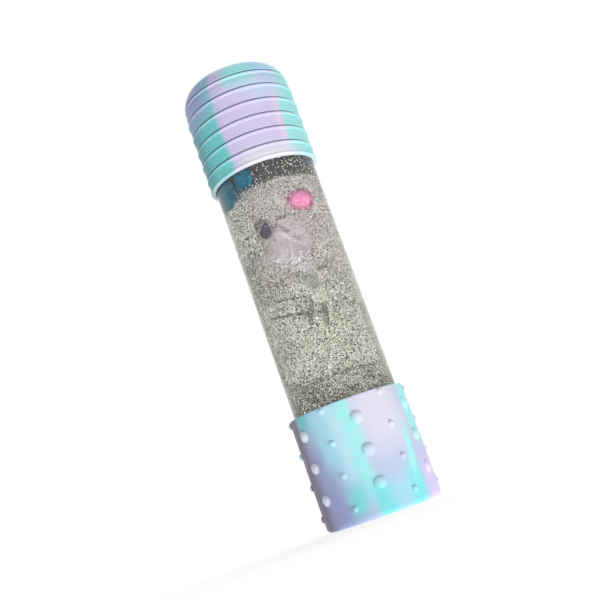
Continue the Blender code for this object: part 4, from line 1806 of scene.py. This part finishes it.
@dataclass
class GlitterLiquid(Assembly):
    """The glitter liquid: packed depths with room for the treasures, and loose flakes round them."""

    foot: float = 0.0061
    top: float = 0.2120
    foot_round: float = 0.0015
    wide: float = 0.0225
    step: float = 0.0012
    lane_steps: int = 4
    segments: int = 96
    run: float = 0.0030
    wall: float = 0.0252
    thin_from: float = 0.130
    thin_share: float = 0.60

    LANES = ((0.1262, 0.0204), (0.1576, 0.0120), (0.1714, 0.0206), (0.1930, 0.0225))
    GLITTER = (
        FlakeLayer(0.02500, 0.02530, 0.0070, 0.2112, 56000, 0.00037),
        FlakeLayer(0.02275, 0.02325, 0.0080, 0.1245, 12500, 0.00037),
        FlakeLayer(0.02505, 0.02535, 0.1420, 0.1740, 5200, 0.00037, sector=(-80.0, -30.0)),
    )
    # Pearl flakes: a pale patch at the upper left, painted light low on the left and right, and a pale streak
    # near the middle.
    PALE_PATCHES_AND_PAINTED_LIGHT = (
        FlakeLayer(0.02505, 0.02535, 0.1470, 0.1735, 2000, 0.00037, sector=(-78.0, -32.0)),
        # Painted light: pearl flakes that lighten the glitter low on the left and right sides.
        FlakeLayer(0.02505, 0.02535, 0.0760, 0.1160, 1900, 0.00037, sector=(-66.0, -18.0)),
        FlakeLayer(0.02505, 0.02535, 0.0760, 0.1040, 350, 0.00037, sector=(34.0, 62.0)),
        FlakeLayer(0.02500, 0.02535, 0.1658, 0.1686, 45, 0.00031, sector=(-4.0, 3.0)),
        FlakeLayer(0.02500, 0.02535, 0.1642, 0.1668, 45, 0.00031, sector=(2.0, 9.0)),
        FlakeLayer(0.02500, 0.02535, 0.1626, 0.1648, 45, 0.00031, sector=(8.0, 15.0)),
    )
    HAZE = (
        FlakeLayer(0.02510, 0.02535, 0.1540, 0.1770, 26000, 0.00033, sector=(-32.0, 200.0)),
        FlakeLayer(0.02510, 0.02535, 0.1390, 0.1540, 3000, 0.00033, sector=(22.0, 200.0)),
        FlakeLayer(0.02510, 0.02535, 0.1310, 0.1540, 3000, 0.00033, sector=(24.0, 200.0)),
        FlakeLayer(0.02510, 0.02535, 0.1220, 0.1540, 3700, 0.00033, sector=(28.0, 200.0)),
        FlakeLayer(0.02510, 0.02535, 0.1540, 0.1770, 13500, 0.00033, sector=(-160.0, -70.0)),
    )
    MIXES = (
        FlakeMix(GlitterFlake("cream", "FFFEF6", 0.30), 0.42, GLITTER),
        FlakeMix(GlitterFlake("champagne", "D2CEBA", 0.35), 0.10, GLITTER),
        FlakeMix(GlitterFlake("olive", "25261F", 0.40), 0.31, GLITTER),
        FlakeMix(GlitterFlake("silver", "E6E8E6", 0.28), 0.17, GLITTER),
        FlakeMix(GlitterFlake("pearl", "FFFEF6", 0.30), 1.0, PALE_PATCHES_AND_PAINTED_LIGHT),
        FlakeMix(GlitterFlake("rosy", "F1E9E7", 0.40), 0.78, HAZE),
        FlakeMix(GlitterFlake("dusky", "6E6B66", 0.40), 0.22, HAZE),
    )
    CLEARINGS = (
        Clearing(33.4, 0.1631, 0.0081, 0.0062, 0.03),
        Clearing(1.0, 0.1435, 0.0148, 0.0122, 0.03),
        Clearing(-21.0, 0.1537, 0.0047, 0.0064, 0.06),
        Clearing(-64.0, 0.1820, 0.0125, 0.0098, 0.03),
        Clearing(-25.0, 0.1842, 0.0064, 0.0075, 0.06),
        Clearing(-2.0, 0.1050, 0.0034, 0.0085, 0.20, 2.5),
        Clearing(13.2, 0.1018, 0.0034, 0.0085, 0.20, 1.0),
        Clearing(10.4, 0.1199, 0.0040, 0.0050, 0.10),
        Clearing(3.5, 0.1165, 0.0013, 0.0055, 0.40, -0.9),
        Clearing(12.0, 0.1280, 0.0045, 0.0028, 0.35),
        Clearing(-22.3, 0.1155, 0.0026, 0.0020, 0.30, -9.2),
        Clearing(-30.0, 0.1080, 0.0034, 0.0032, 0.25, -9.0),
        Clearing(18.0, 0.0715, 0.0200, 0.0010, 0.35),
        # Fewer flakes where the painted shade darkens the left side.
        Clearing(-80.0, 0.1370, 0.0060, 0.0100, 0.40),
        # Fewer flakes where the painted reflection runs along the right edge.
        Clearing(80.0, 0.0860, 0.0075, 0.0320, 0.20),
        Clearing(80.0, 0.1500, 0.0070, 0.0330, 0.40),
    )

    def outline(self) -> list[Spot]:
        """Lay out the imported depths, with a lane for each band of treasures.

        Returns:
            The outline.
        """
        line = Outline((0.0, self.foot))
        line.arc((self.wide - self.foot_round, self.foot + self.foot_round), self.foot_round, -90, 0, 4)
        before = self.wide
        for height, radius in self.LANES:
            start = height - self.step if radius < before else height
            for k in range(self.lane_steps + 1):
                share = k / self.lane_steps
                reach = before + (radius - before) * eased(share, 0.0, 1.0)
                line.to((reach, start + self.step * share))
            before = radius
        line.to((self.wide, self.top), (0.0, self.top))
        return line.finer(self.run)

    def build(self) -> None:
        """Build and dress the liquid's depths and its flakes."""
        effects = self.shop.effects
        packed = GlitterDepths().material(effects)
        depths = self.shop.turned.turn("glitter_depths", self.outline(), packed, self.segments)
        enrol(settle(depths, 60.0), "bottle", "glitter_fill", "glitter_liquid")
        scatter = GlitterScatter(self.CLEARINGS, self.wall)
        for number, mix in enumerate(self.MIXES):
            name = "glitter_" + mix.finish.name
            finish = mix.finish.material(effects)
            flakes = new_object(name, bpy.data.meshes.new(name))
            for place, layer in enumerate(mix.layers):
                scatter.wear(
                    flakes,
                    finish,
                    Count=round(layer.flakes * mix.share),
                    Seed=100 * number + 10 * place,
                    Inner=layer.inner,
                    Outer=layer.outer,
                    From=math.radians(layer.sector[0]),
                    To=math.radians(layer.sector[1]),
                    Foot=layer.foot,
                    Top=layer.top,
                    Flake=layer.flake,
                    Tilt=math.radians(layer.tilt),
                    Thin_From=self.thin_from,
                    Thin_Share=self.thin_share,
                )
            enrol(settle(flakes, 180.0), "bottle", "glitter_fill")


@dataclass
class FlatStone:
    """A flat cut stone that lies just inside the wall.

    Attributes:
        name: Name of the piece.
        outline: Its corners, as sideways and height.
        angle: Where it lies round the bottle, in degrees.
        thickness: Its thickness.
        table: Share of its outline that its outer face keeps.
    """

    name: str
    outline: tuple[Spot, ...]
    angle: float
    thickness: float
    table: float
    reach: float = 0.0246
    back: float = 0.80
    girdle_depth: float = 0.6
    crown_depth: float = 0.28
    crown_flare: float = 0.06
    worn: float = 0.00012

    def ring(self, bm: bmesh.types.BMesh, share: float, depth: float, half: bool) -> list[bmesh.types.BMVert]:
        """Add one ring of the stone's corners.

        Args:
            bm: The shape.
            share: Its size as a share of the outline.
            depth: How far it lies behind the outer face.
            half: Whether its corners lie between the outline's corners.

        Returns:
            The corners.
        """
        count = len(self.outline)
        middle_x = sum(x for x, _ in self.outline) / count
        middle_z = sum(z for _, z in self.outline) / count
        widest = max(abs(x) for x, _ in self.outline)
        face = -math.sqrt(self.reach**2 - widest**2)
        corners = []
        for k, (x, z) in enumerate(self.outline):
            if half:
                x, z = [(a + b) / 2 for a, b in zip((x, z), self.outline[(k + 1) % count])]
            spot = (middle_x + (x - middle_x) * share, face + depth, middle_z + (z - middle_z) * share)
            corners.append(bm.verts.new(spot))
        return corners

    def build(self, material: Material) -> Object:
        """Build the stone with its crown of facets.

        Args:
            material: Its finish.

        Returns:
            The piece.
        """
        bm = bmesh.new()
        back = self.ring(bm, self.back, self.thickness, False)
        girdle = self.ring(bm, 1.0, self.thickness * self.girdle_depth, False)
        between = 0.5 + self.table / 2 + self.crown_flare
        crown = self.ring(bm, between, self.thickness * self.crown_depth, True)
        table = self.ring(bm, self.table, 0.0, False)
        count = len(back)
        for k in range(count):
            after = (k + 1) % count
            bm.faces.new((back[k], back[after], girdle[after], girdle[k]))
            bm.faces.new((girdle[k], girdle[after], crown[k]))
            bm.faces.new((girdle[after], crown[after], crown[k]))
            bm.faces.new((crown[k], crown[after], table[after]))
            bm.faces.new((crown[k], table[after], table[k]))
        bm.faces.new(back)
        bm.faces.new(table)
        swing(bm, self.angle)
        stone = from_bmesh(self.name, bm, material)
        bevel = stone.modifiers.new("worn_edges", "BEVEL")
        bevel.width = self.worn
        bevel.segments = 2
        return settle(stone, 15.0)


@dataclass
class TealStones(Assembly):
    """Two chunky teal stones that float at the top, under the cover's rim."""

    thickness: float = 0.0022

    LARGE = (
        (-0.0085, 0.1775), (-0.0030, 0.1740), (0.0046, 0.1744), (0.0088, 0.1805),
        (0.0066, 0.1880), (-0.0020, 0.1900), (-0.0078, 0.1862),
    )
    SMALL = (
        (-0.0048, 0.1800), (-0.0008, 0.1781), (0.0036, 0.1790), (0.0056, 0.1832),
        (0.0048, 0.1884), (0.0000, 0.1902), (-0.0048, 0.1878),
    )

    def build(self) -> None:
        """Build and dress both stones."""
        material = CutStone("teal_stone", "00506A", "007896", "6FB0BE").material(self.shop.effects)
        large = FlatStone("teal_stone_large", self.LARGE, -63.0, self.thickness, 0.72)
        enrol(large.build(material), "teal_gems", "gem_teal", "teal_gem_large")
        small = FlatStone("teal_stone_small", self.SMALL, -27.0, self.thickness, 0.70)
        enrol(small.build(material), "teal_gems", "gem_teal", "teal_gem_small")


@dataclass
class Pompom(Assembly):
    """The hot pink pompom: a lumpy ball with fine fibres standing on it."""

    radius: float = 0.0058
    angle: float = 41.0
    height: float = 0.1641
    from_axis: float = 0.0178
    fibre: float = 0.0011
    broad: float = 1.20
    fibre_width: float = 0.00009
    density: float = 9000000.0
    lean: float = 40.0
    lump: float = 0.0003
    lump_scale: float = 420.0
    seed: int = 7

    def build(self) -> None:
        """Build and dress the pompom."""
        bm = bmesh.new()
        bmesh.ops.create_icosphere(bm, subdivisions=4, radius=self.radius)
        for vert in bm.verts:
            lump = noise.noise(vert.co * self.lump_scale)
            vert.co += vert.co.normalized() * self.lump * lump
            vert.co.x *= self.broad
        swing(bm, self.angle)
        middle = on_circle(self.from_axis, math.radians(self.angle), self.height)
        bmesh.ops.translate(bm, verts=bm.verts, vec=middle)
        material = PompomFluff().material(self.shop.effects)
        pompom = from_bmesh("pompom_ball", bm, material)
        self.shop.fibres.wear(
            pompom,
            material,
            Density=self.density,
            Seed=self.seed,
            Length=self.fibre,
            Thickness=self.fibre_width,
            Lean=math.radians(self.lean),
        )
        enrol(settle(pompom, 180.0), "pompom", "pompom_pink", "pink_pompom")


@dataclass
class FilmTangle(Assembly):
    """The crumpled lilac film, with the dark pointed stone that is caught in front of it."""

    steps: int = 90
    radius: float = 0.0215
    ripple: float = 0.0007
    crumple: float = 0.0010
    crumple_scale: float = 330.0
    crumple_finer: float = 2.3
    crumple_pinch: float = 2.2
    crumple_top: float = 0.50
    ragged: float = 0.45
    fold_from: float = 0.98
    fold_slope: float = 0.5
    fold_width: float = 0.13
    fold_end: float = 0.8
    thickness: float = 0.00012
    flat_width: float = 0.0235
    flat_length: float = 0.0215
    stone_angle: float = -21.0
    stone_height: float = 0.1531
    stone_thickness: float = 0.0018

    MARKS = ("crease", "edge", "fold")
    CORNERS = ((-38.0, 0.1325), (33.0, 0.1266), (37.0, 0.1500), (-21.0, 0.1575))
    STONE = (
        (0.0015, 0.0046), (-0.0012, 0.0026), (-0.0034, 0.0004), (-0.0030, -0.0022),
        (-0.0010, -0.0042), (0.0016, -0.0038), (0.0028, -0.0024), (0.0027, 0.0010),
    )

    def fold_marks(self, across: float, upward: float) -> Spot:
        """Find how a point lies to the film's slanting fold.

        Args:
            across: Share of the way across the film.
            upward: Share of the way up it.

        Returns:
            How near the point is to the fold, where its painted shadow lies, and how strongly the painted
            glint below the fold's lower end shows.
        """
        over = upward - self.fold_from + self.fold_slope * across
        fold = eased(over, -0.04, 0.01) * eased(self.fold_width - over, 0.0, 0.05)
        fold *= eased(self.fold_end - across, 0.0, 0.1)
        glint = eased(over, -0.16, -0.10) * eased(-over, 0.02, 0.06)
        glint *= eased(across, 0.25, 0.4) * eased(self.fold_end + 0.05 - across, 0.0, 0.1)
        return fold, glint

    def crease(self, spot: Vector, finer: float) -> float:
        """Return how near a spot is to a crease, from 0 to 1, in noise that is so much finer."""
        return 1 - min(1.0, self.crumple_pinch * abs(noise.noise(spot * self.crumple_scale * finer)))

    def point(self, across: float, upward: float) -> tuple[Vector, tuple[float, float, float]]:
        """Find a point of the film.

        Args:
            across: Share of the way across it.
            upward: Share of the way up it.

        Returns:
            The point, and its marks: how sharply it is creased, where the painted highlights lie, how far it
            lies inside the film's edge and how near to the fold, where the painted shadow lies.
        """
        edge = min(across, 1 - across, upward, 1 - upward) * 2
        wave = noise.noise(Vector((0.0, 3.1 * upward, 5.3)))
        heave = noise.noise(Vector((3.7 * across, 0.0, 8.9)))
        fold, glint = self.fold_marks(across, upward)
        low = eased(self.crumple_top - upward, 0.0, self.crumple_top / 2)
        across = 0.5 + (across - 0.5) * (1 + self.ragged * wave)
        upward = 0.5 + (upward - 0.5) * (1 + self.ragged * heave * (1 - upward))
        weights = ((1 - across) * (1 - upward), across * (1 - upward), across * upward, (1 - across) * upward)
        angle = sum(corner[0] * weight for corner, weight in zip(self.CORNERS, weights))
        height = sum(corner[1] * weight for corner, weight in zip(self.CORNERS, weights))
        wavy = math.sin(9.0 * across + 5.0 * upward) * math.cos(7.0 * upward - 2.5 * across)
        spot = Vector((0.6 * math.radians(angle) * self.radius, 1.5 * height, 0.37))
        ridge, fine = [self.crease(spot, finer) for finer in (1.0, self.crumple_finer)]
        radius = self.radius + self.ripple * wavy + self.crumple * low * (0.7 * ridge + 0.3 * fine)
        spot = on_circle(radius, math.radians(angle), height)
        return spot, (max(ridge, fine) ** 3 * max(low, glint), edge, fold)

    def build_film(self) -> None:
        """Build and dress the film."""
        bm = bmesh.new()
        layers = [bm.verts.layers.float.new(name) for name in self.MARKS]
        grid = []
        for i in range(self.steps + 1):
            row = []
            for j in range(self.steps + 1):
                spot, marks = self.point(i / self.steps, j / self.steps)
                vert = bm.verts.new(spot)
                for layer, mark in zip(layers, marks):
                    vert[layer] = mark
                row.append(vert)
            grid.append(row)
        for i in range(self.steps):
            for j in range(self.steps):
                bm.faces.new((grid[i][j], grid[i + 1][j], grid[i + 1][j + 1], grid[i][j + 1]))
        film = from_bmesh("film_scrap", bm, CrinkledFilm().material(self.shop.effects))
        enrol(thicken(film, self.thickness, 60.0), "film", "film_lilac", "lilac_film")

    def build(self) -> None:
        """Build and dress the film and the dark stone."""
        self.build_film()
        outline = tuple((across, self.stone_height + up) for across, up in self.STONE)
        stone = FlatStone("dark_stone", outline, self.stone_angle, self.stone_thickness, 0.60)
        material = CutStone("dark_purple_stone", "373140", "544B5D", "BCB3C4").material(self.shop.effects)
        enrol(stone.build(material), "film", "gem_dark", "dark_gem")


@dataclass
class Leaves(Assembly):
    """Two dark pointed leaves and a grey oval spangle, drifting below the film."""

    length: float = 0.0140
    width: float = 0.0034
    reach: float = 0.0246
    cup: float = 0.0004
    thickness: float = 0.0003
    along_steps: int = 28
    across_steps: int = 6
    oval_width: float = 0.0062
    oval_height: float = 0.0088
    oval_angle: float = 10.4
    oval_z: float = 0.1199
    oval_lean: float = 20.0
    oval_rings: int = 5
    oval_sides: int = 32

    PLACES = (("left", -2.0, 0.1050, 19.0), ("right", 13.2, 0.1018, 10.0))

    def on_wall(self, across: float, height: float, depth: float, angle: float) -> Vector:
        """Return the point so far across a plate on the wall, at a height, a depth and the plate's angle."""
        return on_circle(self.reach - depth, math.radians(angle) + across / self.reach, height)

    def plate(self, name: str, grid: list[list[Vector]], material: Material) -> Object:
        """Make a thin plate of a grid of points.

        Args:
            name: Name of the piece.
            grid: Its outer face.
            material: Its finish.

        Returns:
            The piece.
        """
        bm = bmesh.new()
        rows = [[bm.verts.new(spot) for spot in row] for row in grid]
        for lower, upper in zip(rows, rows[1:]):
            for k in range(len(lower) - 1):
                bm.faces.new((lower[k], lower[k + 1], upper[k + 1], upper[k]))
        bmesh.ops.remove_doubles(bm, verts=bm.verts, dist=MERGE)
        return thicken(from_bmesh(name, bm, material), self.thickness, 50.0)

    def leaf(self, angle: float, middle: float, lean: float) -> list[list[Vector]]:
        """Lay out one leaf, cupped about its midrib.

        Args:
            angle: Where it lies, in degrees.
            middle: Height of its middle.
            lean: How far its foot leans to the left, in degrees.

        Returns:
            Its rows of points, from its tip down.
        """
        grid = []
        for i in range(self.along_steps + 1):
            share = i / self.along_steps
            half = self.width / 2 * math.sin(math.pi * share) ** 0.8
            along = self.length * (0.5 - share)
            shift = along * math.tan(math.radians(lean))
            row = []
            for k in range(self.across_steps + 1):
                side = 2 * k / self.across_steps - 1
                rib = self.cup * (1 - abs(side)) * math.sin(math.pi * share)
                row.append(self.on_wall(shift + half * side, middle + along, self.cup - rib, angle))
            grid.append(row)
        return grid

    def oval(self) -> list[list[Vector]]:
        """Lay out the oval spangle as a shallow dome.

        Returns:
            Its rings of points, from its middle out.
        """
        grid = []
        turn = Matrix.Rotation(math.radians(self.oval_lean), 2)
        for ring in range(self.oval_rings + 1):
            share = ring / self.oval_rings
            row = []
            for k in range(self.oval_sides + 1):
                around = math.tau * k / self.oval_sides
                flat = Vector((self.oval_width * math.cos(around), self.oval_height * math.sin(around)))
                across, rise = turn @ flat * (share / 2)
                row.append(self.on_wall(across, self.oval_z + rise, self.cup * share**2, self.oval_angle))
            grid.append(row)
        return grid

    def build(self) -> None:
        """Build and dress the leaves and the oval."""
        effects = self.shop.effects
        dark = ThinSpangle("leaf_dark_foil", "58584F", "8B8B80", 0.2).material(effects)
        for side, angle, middle, lean in self.PLACES:
            leaf = self.plate("leaf_blade_" + side, self.leaf(angle, middle, lean), dark)
            enrol(leaf, "leaves", "leaf_grey", "leaf_" + side)
        grey = ThinSpangle("oval_grey_foil", "76766F", "9E9E98", 0.2).material(effects)
        oval = self.plate("oval_spangle", self.oval(), grey)
        enrol(oval, "leaves", "sequin_grey", "oval_sequin")


@dataclass
class Lamp:
    """A soft square lamp that faces the middle of the bottle.

    Attributes:
        name: Its name.
        place: Where it stands.
        side: Length of its side.
        power: Its power in watts.
    """

    name: str
    place: tuple[float, float, float]
    side: float
    power: float

    def light(self, target: Vector) -> None:
        """Put the lamp into the scene.

        Args:
            target: What it faces.
        """
        data = bpy.data.lights.new(self.name, "AREA")
        data.size = self.side
        data.energy = self.power
        lamp = bpy.data.objects.new(self.name, data)
        lamp.location = self.place
        lamp.rotation_euler = (target - Vector(self.place)).to_track_quat("-Z", "Y").to_euler()
        lamp.visible_glossy = False
        bpy.context.scene.collection.objects.link(lamp)


@dataclass
class Studio:
    """The pale floor, the soft light and the camera."""

    floor_side: float = 8.0
    floor_grey: float = 0.86
    floor_lift: float = 0.75
    lift_from: float = 0.06
    lift_by: float = 0.28
    floor_bounce: float = 0.40
    ambient: float = 0.15
    distance: float = 0.492124
    eye_height: float = 0.014887
    pitch: float = 0.20636
    yaw: float = -0.0084
    roll: float = -0.34331
    lens: float = 57.18
    sensor: float = 36.0
    clip_start: float = 0.01
    lamp_target: float = 0.12

    LAMPS = (
        Lamp("table_lamp", (0.57, -0.61, -0.43), 0.12, 3.9),
        Lamp("front_lamp", (-0.17, -0.80, 0.08), 0.30, 1.65),
        Lamp("top_lamp", (0.10, 0.25, 0.95), 0.30, 5.4),
    )

    @staticmethod
    def shows_white(graph: Graph) -> NodeSocket:
        """Add the test for rays that see the background.

        Args:
            graph: The nodes to add it to.

        Returns:
            Its result, 1 for such a ray.
        """
        path = graph.add("ShaderNodeLightPath").outputs
        seen = graph.math("MAXIMUM", path["Is Camera Ray"], path["Is Glossy Ray"])
        return graph.math("MAXIMUM", seen, path["Is Transmission Ray"])

    def lay_floor(self) -> None:
        """Lay the pale floor, which keeps the bottle's shadow and lets the lamp under it shine up."""
        bm = bmesh.new()
        bmesh.ops.create_grid(bm, x_segments=1, y_segments=1, size=self.floor_side / 2)
        coat = Coat("pale_floor")
        coat.shade(
            Base_Color=(self.floor_grey, self.floor_grey, self.floor_grey, 1.0),
            Roughness=0.9,
            Specular_IOR_Level=0.0,
            Emission_Color=WHITE,
            Emission_Strength=self.floor_bounce,
        )
        glow = coat.first("ShaderNodeEmission", {"Strength": 1.0})
        share = coat.ease(coat.length(coat.place), self.lift_from, self.lift_by, self.floor_lift, 1.0)
        lift = coat.math("MULTIPLY", self.shows_white(coat), share)
        lifted = coat.first("ShaderNodeMixShader", {0: lift, 1: coat.shader.outputs[0], 2: glow})
        coat.pass_lamps(lifted)
        floor = from_bmesh("pale_floor", bm, coat.material)

    def fill_world(self) -> None:
        """Make the world white to the eye and softer to the surfaces it lights."""
        world = bpy.data.worlds.new("studio_white")
        world.use_nodes = True
        g = Graph(world.node_tree)
        background = world.node_tree.nodes["Background"].inputs
        g.feed(background["Color"], WHITE)
        g.feed(background["Strength"], g.ease(self.shows_white(g), 0.0, 1.0, self.ambient, 1.0))
        bpy.context.scene.world = world

    def aim_camera(self) -> None:
        """Put the camera at the photograph's viewing angle."""
        level = Vector((math.cos(self.yaw), -math.sin(self.yaw), 0.0))
        forward = Vector((math.sin(self.yaw), math.cos(self.yaw), 0.0))
        ahead = forward * math.cos(self.pitch) + Vector((0.0, 0.0, math.sin(self.pitch)))
        upright = level.cross(ahead)
        right = level * math.cos(self.roll) + upright * math.sin(self.roll)
        up = right.cross(ahead)
        data = bpy.data.cameras.new("photo_camera")
        data.lens = self.lens
        data.sensor_width = self.sensor
        data.clip_start = self.clip_start
        camera = bpy.data.objects.new("photo_camera", data)
        axes = Matrix((right, up, -ahead)).transposed().to_4x4()
        camera.matrix_world = Matrix.Translation((0.0, -self.distance, self.eye_height)) @ axes
        bpy.context.scene.collection.objects.link(camera)
        bpy.context.scene.camera = camera

    def build(self) -> None:
        """Set up the studio."""
        bpy.context.scene.view_settings.view_transform = "Standard"
        self.lay_floor()
        self.fill_world()
        for lamp in self.LAMPS:
            lamp.light(Vector((0.0, 0.0, self.lamp_target)))
        self.aim_camera()


def main() -> None:
    """Build the studio, and then each part of the bottle from the boot up."""
    logging.basicConfig(level=logging.INFO, format="%(message)s")
    Studio().build()
    shop = Workshop(TurnedWall(), BumpField(), PompomFibres(), Effects())
    turned = (Boot, CapCover, Bottle, Lid, GlitterLiquid)
    treasures = (TealStones, Pompom, FilmTangle, Leaves)
    for assembly in turned + treasures:
        assembly(shop).build()


if __name__ == "__main__":
    main()
